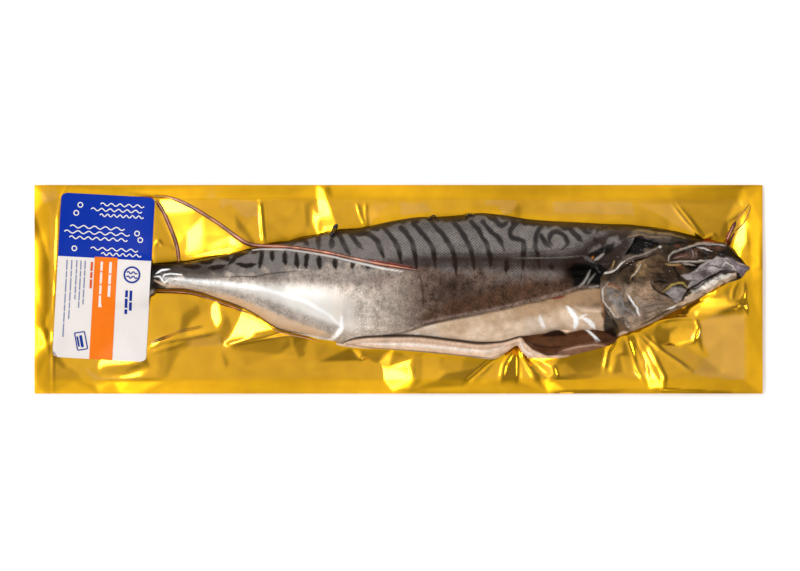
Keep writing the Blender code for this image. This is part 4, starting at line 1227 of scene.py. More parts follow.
# Colours of the head's skin. The dark one is dark skin and also painted shade in creases, grooves and
# hollows, and the glint is painted highlight.
HEAD = dict(
    top="#3e3022", nape="#544b46", nape_dark="#27201e", dark_and_crease_shade="#0d0908", cheek="#574431",
    cheek_dark="#2c1d13", gill="#978270", gill_pink="#8a705a", gill_blue="#8a8684", plate="#938987",
    plate_dark="#6a605e", tan="#a8875a", rim="#a89b90", shelf="#5d5046", rim_light="#d8d0c6", jaw="#c2a98e",
    jaw_white="#f3ece2", jaw_grey="#8f8a88", maxilla="#8f8482", maxilla_light="#b0a6a2",
    maxilla_dark="#4a4140", snout="#716469", lilac="#8b7d85", eye="#4f372c", eye_light="#957a6c",
    throat="#a68d7c", purple="#5a4a50", glint="#ffffff", ochre="#a88c4a", pink="#cdb5a8", red="#8a3a22",
)
# Broad tints of the head's skin: colour, share, softness and outline. The dark tints in the groove under
# the eye and at the corners of the mouth are painted shade.
HEAD_TINTS = (
    ("gill", 0.9, 5, ((110, 4), (125, 5), (150, -5), (160, -12), (140, -22), (108, -30), (106, -5))),
    ("nape", 0.95, 4, ((100, 38), (123, 36), (146, 34.5), (162, 30), (158, 26), (143, 26), (125, 28),
        (104, 32))),
    ("nape_dark", 0.8, 3, ((150, 30), (162, 28), (166, 25.5), (158, 24), (148, 25.5))),
    ("nape_dark", 0.85, 3, ((108, 34), (124, 31), (120, 22), (112, 10), (106, 12))),
    ("nape", 0.7, 2, ((113, 28), (120, 29), (121, 25.5), (116, 24), (113.5, 25))),
    ("top", 0.9, 3, ((122, 4), (122, 12), (132, 17), (146, 23), (160, 21), (147, 14), (133, 8), (126, 1))),
    ("cheek", 1.0, 3, CHEEK),
    ("cheek_dark", 0.75, 2, ((143, 17), (147.5, 14), (155.5, 12), (157, 9), (152, 7.5), (146, 9),
        (140, 13))),
    ("tan", 0.3, 3, ((127, 8), (130, 12), (134, 15), (138, 12), (135, 8), (130, 6))),
    ("cheek_dark", 0.7, 2.5, ((137, 8), (143, 8), (152, 5), (147, 2.5), (142, 3.5), (138, 4.5))),
    ("gill_pink", 0.9, 3, CHEEK_PLATE),
    ("gill", 0.9, 3, GILL_PLATE),
    ("top", 0.75, 2.5, ((112, 7), (116, 8), (121, 9), (124, 5), (122, 1.5), (118, 4), (113, 4))),
    ("gill_blue", 0.8, 2, ((113.5, 1), (117, 1.5), (119, -0.5), (118, -3), (114.5, -3))),
    ("top", 0.5, 3, ((109, 5), (122, 5), (125, 0), (123, -5), (117, -8), (113, -12), (109, -8))),
    ("gill_blue", 0.7, 3, ((116, -3.5), (120, -5), (123, -10), (123, -14), (118.5, -10), (115.5, -6))),
    ("dark_and_crease_shade", 1.0, 2, CRESCENT), ("shelf", 0.9, 1.0, CRESCENT_SHELF),
    ("plate", 0.95, 1.2, GREY_PLATE),
    ("plate_dark", 0.8, 1.5, ((146, -2), (150, 0.9), (152.5, 0.9), (150, -1.5), (147.5, -3))),
    ("cheek_dark", 0.85, 1.6, ((152.5, 9), (155.5, 8), (156.5, 5), (154.5, 3.8), (150.5, 6.5))),
    ("eye", 0.97, 1.0, EYE_WINDOW),
    ("dark_and_crease_shade", 0.85, 2, ((163.4, 20), (168, 21.5), (174, 22), (181, 22.5), (186, 17.5), (180, 18.3),
        (172, 17.8), (165, 16.5))),
    ("dark_and_crease_shade", 0.8, 1.5, ((157, 13), (161, 13), (166, 14.2), (166, 12.5), (161.4, 10.8), (157, 11.2))),
    ("maxilla", 0.97, 1.0, MAXILLA),
    ("maxilla_light", 0.4, 2, ((168, 14.5), (172.6, 16.4), (177, 15.5), (174, 12.5), (170, 11.5))),
    ("maxilla_dark", 0.8, 2, ((163.5, 9), (167, 10), (172, 9.3), (171, 7.3), (166.5, 6.8))),
    ("snout", 0.95, 1.5, ((181, 18), (184.8, 15.6), (191.5, 14), (194, 12), (193, 9.5), (189.5, 5.5),
        (186, 9.5), (183.5, 14))),
    ("lilac", 0.8, 1.5, ((185, 13.5), (190.5, 13), (192.5, 11.5), (188.5, 9.5))),
    ("jaw", 0.97, 0.8, LOWER_JAW),
    ("jaw_white", 0.85, 1.8, ((161, -1.5), (168.5, 4), (175.6, 8), (180.7, 9.4), (183.5, 8.2), (176, 4.5),
        (167, -0.5))),
    ("jaw_grey", 0.6, 1.2, ((158, -5.4), (164, -2.4), (172, 1.6), (178, 4.6), (177, 3), (170, -0.8),
        (162, -4.8))),
    ("dark_and_crease_shade", 0.95, 0.9, ((185.3, 8.6), (187, 9.4), (189.3, 5.2), (187.5, 4.8))),
    ("dark_and_crease_shade", 0.95, 0.9, ((155.6, -4.7), (157, -2.2), (159.2, -0.4), (158, -1.5), (156.6, -4.4))),
    ("throat", 0.9, 2, ((112, -14), (116.5, -16), (120, -18), (125, -22), (131, -24.5), (125, -27),
        (119, -28), (114, -21))),
    ("dark_and_crease_shade", 0.85, 1.2, ((119, -20.5), (125, -21.6), (128.5, -22.6), (124, -23.8), (120.5, -23))),
    ("glint", 0.85, 0.9, ((118.5, -17.6), (122, -18.4), (126.4, -20.4), (124, -21), (120, -20))),
)
# Lines on the head's skin: colour, share, half-width, softness and route. The dark lines along the grooves
# are painted shade.
HEAD_LINES = (
    ("dark_and_crease_shade", 0.95, 0.8, 0.9, ((112, 35.5), (140, 32.8), (150.2, 31.3), (159.3, 29.2), (164.4, 27),
        (168.5, 26))),
    ("ochre", 0.35, 0.6, 0.9, ((120, 33), (140, 31.2), (150.2, 29.8), (157.8, 28))),
    ("tan", 0.85, 0.45, 0.6, ((116.3, 11.4), (118, 17), (119.7, 21.3), (122.8, 24.7), (126, 26.4))),
    ("tan", 0.5, 0.35, 0.7, ((124, 28), (130, 29.5), (136, 29.3), (142, 28.6), (147.5, 28.2))),
    ("dark_and_crease_shade", 0.8, 0.6, 0.8, ((116, 8), (120, 9), (124, 12.5), (128, 14.8), (134, 16.8), (140, 19.5))),
    ("dark_and_crease_shade", 0.85, 0.6, 0.9, ((143, 25), (147, 24.6), (152, 25.6), (158, 25))),
    ("dark_and_crease_shade", 0.8, 0.7, 1.0, ((113, 15.5), (116, 18), (118, 22), (121, 27), (125, 30.5))),
    ("rim_light", 0.85, 0.55, 0.8, ((110.8, 9.2), (113.7, 9), (116.6, 9.3), (118.8, 10.8))),
    ("rim_light", 0.95, 0.5, 0.7, ((118.8, 10.8), (121, 13.6), (123.4, 15.4))),
    ("rim", 0.65, 0.3, 0.8, ((123.4, 15.4), (127, 17.3), (131, 18.6), (137, 20.6), (142.4, 23.4))),
    ("rim_light", 0.8, 0.7, 0.8, ((142.4, 23.4), (143.8, 23.2))),
    ("rim_light", 0.65, 0.3, 0.7, ((114.5, 3.5), (111.6, 0), (111.9, -5.9), (114.2, -9.6), (117.9, -13.9),
        (122.2, -17), (127.1, -20.4))),
    ("dark_and_crease_shade", 0.75, 0.5, 0.8, ((114, -11.5), (117.6, -15.6), (121.5, -18.8), (127, -22))),
    ("red", 0.45, 0.4, 0.8, ((112.5, 1.4), (114.3, 2.8), (117, 3.3), (120, 1.5), (121.6, -1.6))),
    ("tan", 0.8, 0.35, 0.6, ((114, 1.6), (116.8, 2.2), (119, 0.8))),
    ("jaw_grey", 0.8, 0.5, 0.9, COVER_GROOVE),
    ("glint", 0.95, 0.5, 0.7, ((125.7, -2.6), (127.1, -5.9), (129.6, -9.6), (132.1, -14.4))),
    ("tan", 0.85, 0.35, 0.6, ((126.8, -1.5), (128.4, -5.3), (131, -9.6))),
    ("dark_and_crease_shade", 0.6, 0.4, 0.8, ((124.5, -3.5), (126, -7.5), (128.6, -11.6), (131, -15.4))),
    ("tan", 0.75, 0.4, 0.8, CHEEK_RIM),
    ("rim_light", 0.7, 0.35, 0.6, ((127, 6.5), (130.5, 10.2), (132.8, 13.6))),
    ("dark_and_crease_shade", 0.9, 0.45, 0.7, CHEEK_GROOVE),
    ("dark_and_crease_shade", 0.85, 0.45, 0.7, CHEEK_BRANCH),
    ("dark_and_crease_shade", 0.85, 0.5, 0.8, ((147, 14), (150.5, 12), (152.5, 8), (154.5, 4.6))),
    ("dark_and_crease_shade", 0.7, 0.4, 0.8, ((136, 10), (140, 8.6), (146, 8.4), (150, 6.6))),
    ("cheek_dark", 0.7, 0.4, 0.8, ((134, 15), (138, 12), (143, 12.5), (147, 10.5))),
    ("maxilla_dark", 0.8, 0.4, 0.8, ((133, -10), (140, -8.4), (146, -7.6), (150, -8.2))),
    ("maxilla_dark", 0.6, 0.35, 0.8, ((131, -6), (138, -5), (146, -6))),
    ("maxilla_dark", 0.6, 0.35, 0.8, ((134, -13.5), (140, -11.5), (147, -9.8))),
    ("maxilla_dark", 0.6, 0.35, 0.8, ((133.5, -17), (139, -14.5), (145, -12))),
    ("dark_and_crease_shade", 0.9, 0.4, 0.7, ((132.7, -20), (138.3, -17), (144.5, -13.3), (149.4, -10.9), (152, -9.6))),
    ("glint", 0.9, 0.55, 0.7, ((147.5, -11), (150, -10.2), (152.4, -9))),
    ("ochre", 0.95, 0.55, 0.6, MOUTH_CORNER),
    ("tan", 0.8, 0.6, 0.8, ((146, 13.6), (150, 13.2), (154.5, 13.4))),
    ("red", 0.35, 0.5, 0.9, ((151, 12.6), (154.5, 12.2), (157, 10.8))),
    ("red", 0.35, 0.6, 1.2, ((151.5, 23.6), (154, 23.4))),
    ("rim", 0.95, 0.6, 0.7, ((147.6, 15.7), (148.1, 18.2), (150.2, 20.3), (155.3, 21.8))),
    ("rim", 0.9, 0.7, 0.8, ((154, 22), (159, 23.2), (162.9, 24.3), (167.5, 25.2), (172.6, 25.5))),
    ("dark_and_crease_shade", 0.9, 0.4, 0.6, ((149, 16.6), (150.2, 19.2), (155.3, 20.5), (160, 22), (163, 23.6),
        (168, 24.2))),
    ("rim", 0.95, 0.6, 0.7, EYE_LOWER_RIM),
    ("dark_and_crease_shade", 0.85, 0.3, 0.6, ((149, 16), (155.3, 16.1), (165, 16), (168, 16.6))),
    ("rim", 0.8, 0.45, 0.7, UNDER_EYE),
    ("eye_light", 0.85, 0.3, 0.6, ((150.2, 16.7), (154, 18), (158, 18.6))),
    ("eye_light", 0.9, 0.35, 0.6, ((160.6, 21.3), (161.6, 19), (161.2, 16.7))),
    ("eye_light", 0.7, 0.3, 0.6, ((162.6, 20.5), (163.2, 18.6), (163, 16.7))),
    ("rim_light", 0.9, 0.45, 0.6, ((163.5, 23.3), (168.5, 22.2), (171.6, 20.5))),
    ("maxilla_light", 0.9, 0.45, 0.6, ((168.5, 24.4), (174, 24.7), (180.2, 23.9))),
    ("red", 0.8, 0.5, 0.7, ((166, 25.9), (172, 26.3), (179.7, 26))),
    ("maxilla_light", 0.9, 0.5, 0.8, ((159.3, 8), (163.9, 11), (168.5, 15), (172.6, 16.6), (180, 16.8))),
    ("maxilla_light", 0.8, 0.5, 0.8, ((160.5, 0.8), (163.9, 2), (166.5, 4.2), (168.5, 6))),
    ("rim_light", 0.9, 0.3, 0.5, LIP_SPUR),
    ("maxilla_dark", 0.8, 0.4, 0.8, ((168, 13), (172, 13.5), (176, 11.8), (180, 11.6))),
    ("dark_and_crease_shade", 1.0, 0.4, 0.6, ((155.3, -4.7), (156.8, -2.6), (158.8, 0.1), (162.9, 2.1), (166.5, 4.7),
        (171.6, 7.3), (175.6, 9.6), (180.2, 10.7), (184, 10.4))),
    ("pink", 0.7, 0.5, 0.9, ((154, -8), (160, -5), (166, -2), (172, 1))),
    ("maxilla_dark", 0.9, 0.5, 0.7, ((153, -10), (158, -8.4), (162.4, -6.6), (165, -5.2))),
    ("purple", 0.95, 0.55, 0.8, ((154.8, -10.6), (162.4, -7.2), (168.5, -4), (175.6, -0.4), (181, 2.8),
        (186, 5.8))),
    # Painted shadow along the top edge of the snout.
    ("dark_and_crease_shade", 0.95, 0.65, 0.8, ((180.7, 23), (184, 19.2), (187.8, 15.6), (191.5, 13.8))),
    ("pink", 0.7, 0.35, 0.7, ((184.8, 14.9), (188, 13.9), (191.2, 13))),
)

# How much of the skin's raggedness the head's lines follow.
LINE_WAVER = 0.45


def head_paint(x, y):
    """Colour of the head's skin, with painted shade in its creases and hollows and painted glints."""
    ragged_x, ragged_y = ragged(x, y, 0.3, 0.35, 0.35, -90)
    paint = layered(plain(HEAD["top"], x.shape), HEAD, tint_layers(HEAD_TINTS, ragged_x, ragged_y))
    blotch = 1 + 0.2 * read_off(fine_wrinkles, x, y) + 0.16 * read_off(broad_wrinkles, x, y)
    paint = paint * np.clip(blotch, 0.45, 1.5)[..., None]
    line_x, line_y = x + LINE_WAVER * (ragged_x - x), y + LINE_WAVER * (ragged_y - y)
    return layered(paint, HEAD, [
        # Painted shade in the fine creases of the skin.
        ("dark_and_crease_shade", 0.45 * head_creases(x, y)),
        *line_layers(HEAD_LINES, line_x, line_y),
    ])


x, y = fish_lattice(lambda share: gill_line(share) - BEHIND_GILL, lambda share: FISH_NOSE + 0 * share,
                    HEAD_COLUMNS, HEAD_ROWS, back_edge, belly_edge)
NAPE_SCALES = ((108, 36), (124, 34), (120, 22), (110, 12))
fish_piece("mackerel_head", x, y, head_height(x, y), HEAD_UNDER_ROWS, head_paint(x, y), HEAD["gill"],
           {"scales": 0.5 * field(NAPE_SCALES, 4, x, y), "speckle": 0.5})

# Clear front web. It is laminated nylon and polythene film, drawn tight on the fish by the vacuum
# and heat-sealed to the gold web round the rim. Where it stands off the foil it shows as a pale
# veil with crisp edges.

# The film lies this far above what it covers, which it bridges and rounds by these lengths.
FILM_GAP, FILM_BRIDGE, FILM_ROUNDING = 0.35, 0.6, 0.7
# Height of the ridges that the film makes over the head's creases.
CREASE_RIDGE = 0.22
# Slack film that shows as a veil: strength, softness and outline.
VEILS = (
    (0.9, 0.8, ((-198, 55), (-136, 55), (-93, 55), (-92, 51), (-102, 50), (-133, 52), (-185, 51),
        (-195, 47))),
    (0.8, 0.6, ((-98, 50), (-78, 48), (-77, 40), (-84, 39), (-93, 47), (-98, 44))),
    (0.5, 0.6, BACK_FACET),
    (0.8, 0.6, ((1, 48), (10, 47), (14, 48), (19, 43), (11, 42), (5, 41), (1, 41))),
    (0.8, 0.5, ((47, 49), (64, 49), (65, 46), (62, 42), (58, 41), (54, 46), (48, 46))),
    (0.9, 0.6, ((85, 48), (128, 48), (130, 41), (115, 41), (85, 42))),
    (0.6, 0.8, ((130, 47), (150, 47), (157, 40), (163, 30), (149, 37), (143, 41))),
    (0.9, 0.6, ((165, -18), (174, -14), (190, -14), (190, -50), (169, -48), (161, -46), (171, -36),
        (166, -28))),
    (0.5, 0.8, THROAT_FACET),
    (0.6, 1.0, LOW_TAIL_FACET),
    (0.7, 1.0, LOW_SEAL_FACET),
)

back, belly, slit = back_edge(lattice_x), belly_edge(lattice_x), lower_body_edge(lattice_x)
gills = gill_edge(lattice_y)
fish_top = np.zeros(lattice_x.shape)
for height_of, start, end, low, high in (
    (body_height, FISH_TAIL, gills + UNDER_GILL, slit, back),
    (flap_height, FLAP_START, FLAP_END, belly, slit + FLAP_TUCK),
    (head_height, gills - 1.0, FISH_NOSE, belly, back),
):
    inside = between(lattice_x, start, end, lattice_y, low, high)
    fish_top = np.maximum(fish_top, np.where(inside, height_of(lattice_x, lattice_y), 0))
on_fish = (fish_top > gold_top).astype(float)
stacked = np.maximum(fish_top, gold_top)
film_top = np.maximum(blurred(spread(stacked, FILM_BRIDGE), FILM_ROUNDING), stacked) + FILM_GAP
# Over the head the film is pressed into the creases, which stand as fine wet ridges.
clear_of_rim = 1 - blurred(spread(1 - on_fish, 2.4), 0.8)
over_head = clear_of_rim * ease((lattice_x - 96) / 10)
film_top += CREASE_RIDGE * over_head * head_creases(lattice_x, lattice_y)

# The film's columns are closer over the head, and its rows over the fish and its edge.
FILM_BODY_COLUMNS, FILM_HEAD_COLUMNS, HEAD_START = 280, 174, 96.0
MARGIN_FILM_ROWS, EDGE_ROWS, FISH_FILM_ROWS = 44, 5, 122
EDGE_OUT, EDGE_IN = 1.2, 0.6
x = np.concatenate([np.linspace(-half_length, HEAD_START, FILM_BODY_COLUMNS),
                    np.linspace(HEAD_START, half_length, FILM_HEAD_COLUMNS)[1:]])
back, belly = back_edge(x), belly_edge(x)
y = rows_between((half_width, seal_line, back + EDGE_OUT, back - EDGE_IN, belly + EDGE_IN, belly - EDGE_OUT,
                  -seal_line, -half_width),
                 (2, MARGIN_FILM_ROWS, EDGE_ROWS, FISH_FILM_ROWS, EDGE_ROWS, MARGIN_FILM_ROWS, 2), x)
x = np.broadcast_to(x[:, None], y.shape)
film_places = np.stack([x, y, read_off(film_top, x, y)], axis=-1)

# How strongly the film shows: in a veil, a little in the margins, hardly on the fish, and along
# the creases of the head. It is dullest in the margins.
veil = np.max([share * field(outline, soft, x, y) for share, soft, outline in VEILS], axis=0)
from_seal = np.minimum(half_width - np.abs(lattice_y), half_length - np.abs(lattice_x)) - SEAL_WIDTH
in_margin = read_off(ease(from_seal / 2.0), x, y) * (1 - read_off(blurred(spread(on_fish, 2.4), 0.8), x, y))
lift = np.maximum(veil, 0.008 + 0.2 * in_margin) * (1 - read_off(blurred(on_fish, 0.6), x, y))
lift += 0.5 * read_off(over_head, x, y) * head_creases(x, y) ** 3

film, tree = new_material("clear_nylon_polythene_film")
# Thin clear film: seen through almost unseen, with a sharp wet shine where it faces a lamp. Both
# faces reflect alike, by Schlick's law for an index of 1.5, and a little more to show at this size.
FILM_FACES, HEAD_ON = 2.4, 0.04
slack = add_node(tree, "ShaderNodeAttribute", attribute_name="slack")
rough = add_node(tree, "ShaderNodeMapRange", {
    "Value": slack.outputs["Fac"], "To Min": 0.06, "To Max": 0.11})
shown = add_node(tree, "ShaderNodeAttribute", attribute_name="lift")
facing = add_node(tree, "ShaderNodeLayerWeight", {"Blend": 0.5})
strength = facing.outputs["Facing"]
for operation, *operands in (
    ("POWER", 5.0), ("MULTIPLY_ADD", 1 - HEAD_ON, HEAD_ON), ("MULTIPLY", FILM_FACES),
    ("MULTIPLY", shown.outputs["Fac"]), ("MINIMUM", 1.0),
):
    strength = add_node(tree, "ShaderNodeMath", (strength, *operands), operation=operation)
clear = add_node(tree, "ShaderNodeBsdfTransparent")
shine = add_node(tree, "ShaderNodeBsdfGlossy", {"Roughness": rough})
mix = add_node(tree, "ShaderNodeMixShader", (strength, clear, shine))
add_node(tree, "ShaderNodeOutputMaterial", {"Surface": mix})

film_web = add_piece("clear_front_web", film_places.reshape(-1, 3), sheet_faces(*y.shape, turned=True),
                     film, values={"lift": lift, "slack": in_margin})
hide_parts("clear_bag_with_mackerel")

# Folds of the clear web. Where spare film was drawn together it stands in thin double ridges, which
# hold a little brine and blood and so look maroon. Their brown-amber strands are painted reflection of
# the gold foil, and their pale pink ones painted highlight.


def sweep_tree(name, flat):
    """A node tree that sweeps a round or flat profile along edges, as wide as their points say."""
    tree = bpy.data.node_groups.new(name, "GeometryNodeTree")
    for label, kind in (("Paths", "Geometry"), ("Spacing", "Float"), ("Sides", "Int"),
                        ("Material", "Material")):
        tree.interface.new_socket(label, in_out="INPUT", socket_type="NodeSocket" + kind)
    tree.interface.new_socket("Swept", in_out="OUTPUT", socket_type="NodeSocketGeometry")
    given = add_node(tree, "NodeGroupInput").outputs
    curve = add_node(tree, "GeometryNodeMeshToCurve", {"Mesh": given["Paths"]})
    even = add_node(tree, "GeometryNodeResampleCurve", {"Curve": curve, "Length": given["Spacing"]},
                    mode="LENGTH")
    upright = add_node(tree, "GeometryNodeSetCurveNormal", {"Curve": even}, mode="Z_UP")
    half = add_node(tree, "GeometryNodeInputNamedAttribute", {"Name": "half"}, data_type="FLOAT")
    if flat:
        profile = add_node(tree, "GeometryNodeCurvePrimitiveLine", {"Start": (-1, 0, 0), "End": (1, 0, 0)})
    else:
        profile = add_node(tree, "GeometryNodeCurvePrimitiveCircle", {
            "Resolution": given["Sides"], "Radius": 1.0})
    swept = add_node(tree, "GeometryNodeCurveToMesh", {
        "Curve": upright, "Profile Curve": profile, "Scale": half.outputs["Attribute"],
        "Fill Caps": not flat})
    whole = add_node(tree, "GeometryNodeRealizeInstances", {"Geometry": swept})
    dressed = add_node(tree, "GeometryNodeSetMaterial", {"Geometry": whole, "Material": given["Material"]})
    add_node(tree, "NodeGroupOutput", {"Swept": dressed})
    return tree


def swept_piece(name, tree, routes, spacing, sides, material):
    """One piece swept along routes of places, each route with the half-width at every place."""
    mesh = bpy.data.meshes.new(name)
    places = np.concatenate([route for route, halves in routes]) * MM
    edges, passed = [], 0
    for route, halves in routes:
        edges += [(passed + i, passed + i + 1) for i in range(len(route) - 1)]
        passed += len(route)
    mesh.from_pydata(places.tolist(), edges, [])
    widths = np.concatenate([halves for route, halves in routes]) * MM
    mesh.attributes.new("half", "FLOAT", "POINT").data.foreach_set("value", widths)
    piece = bpy.data.objects.new(name, mesh)
    bpy.context.scene.collection.objects.link(piece)
    modifier = piece.modifiers.new("sweep", "NODES")
    modifier.node_group = tree
    sockets = {item.name: item.identifier for item in tree.interface.items_tree if item.in_out == "INPUT"}
    modifier[sockets["Spacing"]] = spacing * MM
    modifier[sockets["Sides"]] = sides
    modifier[sockets["Material"]] = material
    swept = bpy.data.meshes.new_from_object(piece.evaluated_get(bpy.context.evaluated_depsgraph_get()))
    piece.modifiers.clear()
    piece.data = swept
    swept.shade_smooth()
    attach(piece, "root")
    return piece


def evenly(route, spacing, least):
    """Places at even gaps along a route, at least this many gaps."""
    passed = np.concatenate([[0], np.cumsum(np.hypot(*np.diff(route, axis=0).T))])
    stops = np.linspace(0, passed[-1], max(least, round(passed[-1] / spacing) + 1))
    return np.stack([np.interp(stops, passed, route[:, 0]), np.interp(stops, passed, route[:, 1])], axis=1)


def along_route(route, spacing, shift):
    """Places seen from above, evenly along a route that is rounded at its bends, moved to its left."""
    even = evenly(rounded(route), spacing, 3)
    way = np.gradient(even, axis=0)
    way /= np.hypot(*way.T)[:, None]
    return even + shift * np.stack([-way[:, 1], way[:, 0]], axis=1)


def clouded_material(name, code, cloud, stops, gains, finish):
    """A material of one colour, which clouds this many millimetres across make darker and paler."""
    material, tree = new_material(name)
    coords = add_node(tree, "ShaderNodeTexCoord")
    clouds = add_node(tree, "ShaderNodeTexNoise", {
        "Vector": coords.outputs["Object"], "Scale": 1 / (cloud * MM)})
    ramp = add_node(tree, "ShaderNodeValToRGB", {"Fac": clouds})
    for element, stop, gain in zip(ramp.color_ramp.elements, stops, gains):
        element.position = stop
        element.color = (*np.minimum(np.array(hex_colour(code)) * gain, 1), 1)
    bsdf = add_node(tree, "ShaderNodeBsdfPrincipled", {"Base Color": ramp, **finish})
    add_node(tree, "ShaderNodeOutputMaterial", {"Surface": bsdf})
    return material


LONG_FOLD = (
    (-133.8, 51), (-128.3, 51), (-121.2, 49), (-113.5, 45.2), (-106.3, 40.8), (-98, 35.6), (-89.8, 29.4),
    (-82.7, 24.6), (-73.5, 23.6), (-61, 23.4), (-48.5, 21.6), (-36.5, 19.6), (-25, 16.8), (-11.5, 14),
    (3, 11.8), (11, 10.4),
)
SHORT_FOLD = ((-133.3, 49), (-130, 44.6), (-126.7, 37), (-123.4, 29.3), (-121.2, 22), (-120.6, 14.5))
LOW_FOLD = ((-136.6, -29.5), (-128.3, -26.2), (-120.1, -22.9), (-107.4, -20.2))
NOSE_FOLDS = (((183.5, 31), (188, 34.5), (191.5, 39), (193.6, 46.5)), ((185, 37), (188, 41), (193, 47)))
BELLY_FOLD = tuple((px, float(belly_edge(px)) - 0.3) for px in range(-132, -40, 6))
FIN_STUB = ((-37, 29.5), (-36, 31.5), (-34.8, 34), (-33.6, 35.6))
# Strands of the folds: tone, route, shift to its left, half-width and how deep it is sunk. Pink strands
# are painted highlight and amber ones painted reflection of the gold foil.
STRANDS = (
    ("maroon", LONG_FOLD, 0.75, 0.32, 0.1), ("pink", LONG_FOLD, 0.05, 0.5, 0.15),
    ("maroon", LONG_FOLD, -0.7, 0.28, 0.1),
    ("maroon", SHORT_FOLD, -0.75, 0.36, 0.1), ("pink", SHORT_FOLD, 0.0, 0.42, 0.1),
    ("maroon", SHORT_FOLD, 0.7, 0.3, 0.1),
    ("amber", LOW_FOLD, 0.4, 0.3, 0.1), ("amber", LOW_FOLD, -0.5, 0.3, 0.1),
    ("amber", NOSE_FOLDS[0], 0.0, 0.32, 0.1), ("amber", NOSE_FOLDS[1], 0.0, 0.3, 0.1),
    ("maroon", ((180, 24), (181, 28.5), (184, 34), (185.6, 37.2)), 0.2, 1.15, 0.8),
    ("maroon", ((181.2, 24), (182.3, 28), (184.2, 31.4)), -0.6, 0.6, 0.3),
    ("pink", ((180.8, 27), (182.4, 31), (184.4, 34.6)), 0.3, 0.3, -1.2),
    ("maroon", ((-17, 15.9), (-9.5, 14.5), (2, 12.6), (9, 11.2)), 0.5, 0.6, 0.2),
    ("pink", BELLY_FOLD, -0.9, 0.3, 0.1),
    ("black", FIN_STUB, 0.0, 1.3, 0.9), ("black", ((16.5, 38.4), (19, 41), (21, 39.4)), 0, 0.5, 0.2),
    ("black", ((36.5, 39.6), (39.3, 41.6), (42, 40)), 0.0, 0.5, 0.2),
    ("pink", ((-37, 31), (-35, 31.5), (-33.6, 35)), 0.0, 0.3, -0.4),
)
FOLD_SPACING, FOLD_SIDES = 0.8, 10
# A strand narrows to this share of its width over this share of its length at each end.
STRAND_TIP, STRAND_TAPER = 0.25, 0.12
round_sweep = sweep_tree("round_sweep", False)
# Each tone clouds darker and paler in short dashes, and is glossy: maroon is brine, pink painted
# highlight and amber painted reflection of the gold foil. The black is wet skin of the fins.
for tone, code in (("maroon", "#641c0c"), ("pink", "#bd8468"), ("amber", "#b07a1e"), ("black", "#150f0d")):
    strands = []
    for strand_tone, route, shift, half, sunk in STRANDS:
        if strand_tone == tone:
            seen = along_route(route, FOLD_SPACING, shift)
            share = np.linspace(0, 1, len(seen))
            taper = ease(np.minimum(share, 1 - share) / STRAND_TAPER)
            halves = half * (STRAND_TIP + (1 - STRAND_TIP) * taper)
            height = read_off(film_top, seen[:, 0], seen[:, 1]) + halves - sunk
            strands.append((np.column_stack([seen, height]), halves))
    strand_material = clouded_material("film_fold_strand_" + tone, code, 7.0, (0.35, 0.7), (0.55, 1.5),
                             {"Roughness": 0.12})
    swept_piece("film_fold_" + tone, round_sweep, strands, FOLD_SPACING, FOLD_SIDES, strand_material)

# Printed label. Coated white paper, die-cut with round corners and stuck on the clear web over the
# tail, printed with a blue field and an orange band.
LABEL_WIDTH, LABEL_LENGTH, LABEL_CORNER = 51.5, 90.5, 3.0
LABEL_CENTRE, LABEL_TURN = (-162.0, 6.6), math.radians(-3.2)
# The paper's thickness, the glue under it, and how far each layer of ink stands above the last.
LABEL_THICKNESS, GLUE, INK_LIFT = 0.15, 0.15, 0.06
LABEL_STEP, SHARP_CORNER = 0.8, 0.01
label_base = blurred(spread(film_top, 1.8), 1.2)


def on_label(u, v, lift):
    """Places on the label's face, from millimetres across and up it, raised by a lift."""
    x = LABEL_CENTRE[0] + u * math.cos(LABEL_TURN) - v * math.sin(LABEL_TURN)
    y = LABEL_CENTRE[1] + u * math.sin(LABEL_TURN) + v * math.cos(LABEL_TURN)
    return np.stack([x, y, read_off(label_base, x, y) + GLUE + LABEL_THICKNESS + lift], axis=-1)


def rounded_sheet(width, length, top_corner, low_corner):
    """Millimetres across and up a sheet with round top and bottom corners, on a lattice."""
    half_w, half_l = width / 2, length / 2
    v = np.linspace(half_l, -half_l, max(2, round(length / LABEL_STEP)) + 1)
    reach = np.full_like(v, half_w)
    for corner, past in ((top_corner, v - half_l + top_corner), (low_corner, -v - half_l + low_corner)):
        inset = corner - np.sqrt(np.maximum(corner**2 - np.clip(past, 0, corner) ** 2, 0))
        reach = np.minimum(reach, half_w - inset)
    u = np.linspace(-1, 1, max(2, round(width / LABEL_STEP)) + 1)[:, None] * reach
    return u, np.broadcast_to(v, u.shape)


def print_material(name, code, grain):
    """Matt ink or coated paper: one colour with a little unevenness."""
    return clouded_material(name, code, 4.0, (0.0, 1.0), (1 - grain, 1 + grain),
                            {"Roughness": 0.35, "Specular IOR Level": 0.08})


top = on_label(*rounded_sheet(LABEL_WIDTH, LABEL_LENGTH, LABEL_CORNER, LABEL_CORNER), 0)
places, faces = closed_shell(top, top - (0, 0, LABEL_THICKNESS))
label = add_piece("label_paper", places, faces, print_material("coated_white_paper", "#e3dbd6", 0.03))
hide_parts("label")

# Printed fields: name, colour, centre, width, length, top corners, and layer of ink.
for name, code, centre, width, length, corner, layer in (
    ("label_blue_field", "#032d9c", (0, 27.8), LABEL_WIDTH, 34.9, LABEL_CORNER, 1),
    ("label_orange_band", "#ec7410", (0.85, -17.1), 12.7, 56.3, SHARP_CORNER, 2),
):
    u, v = rounded_sheet(width, length, corner, SHARP_CORNER)
    grid = on_label(u + centre[0], v + centre[1], layer * INK_LIFT)
    add_piece(name, grid.reshape(-1, 3), sheet_faces(*grid.shape[:2], turned=True),
              print_material(name + "_ink", code, 0.06))

PRINT_SPACING = 0.5
flat_sweep = sweep_tree("flat_sweep", True)


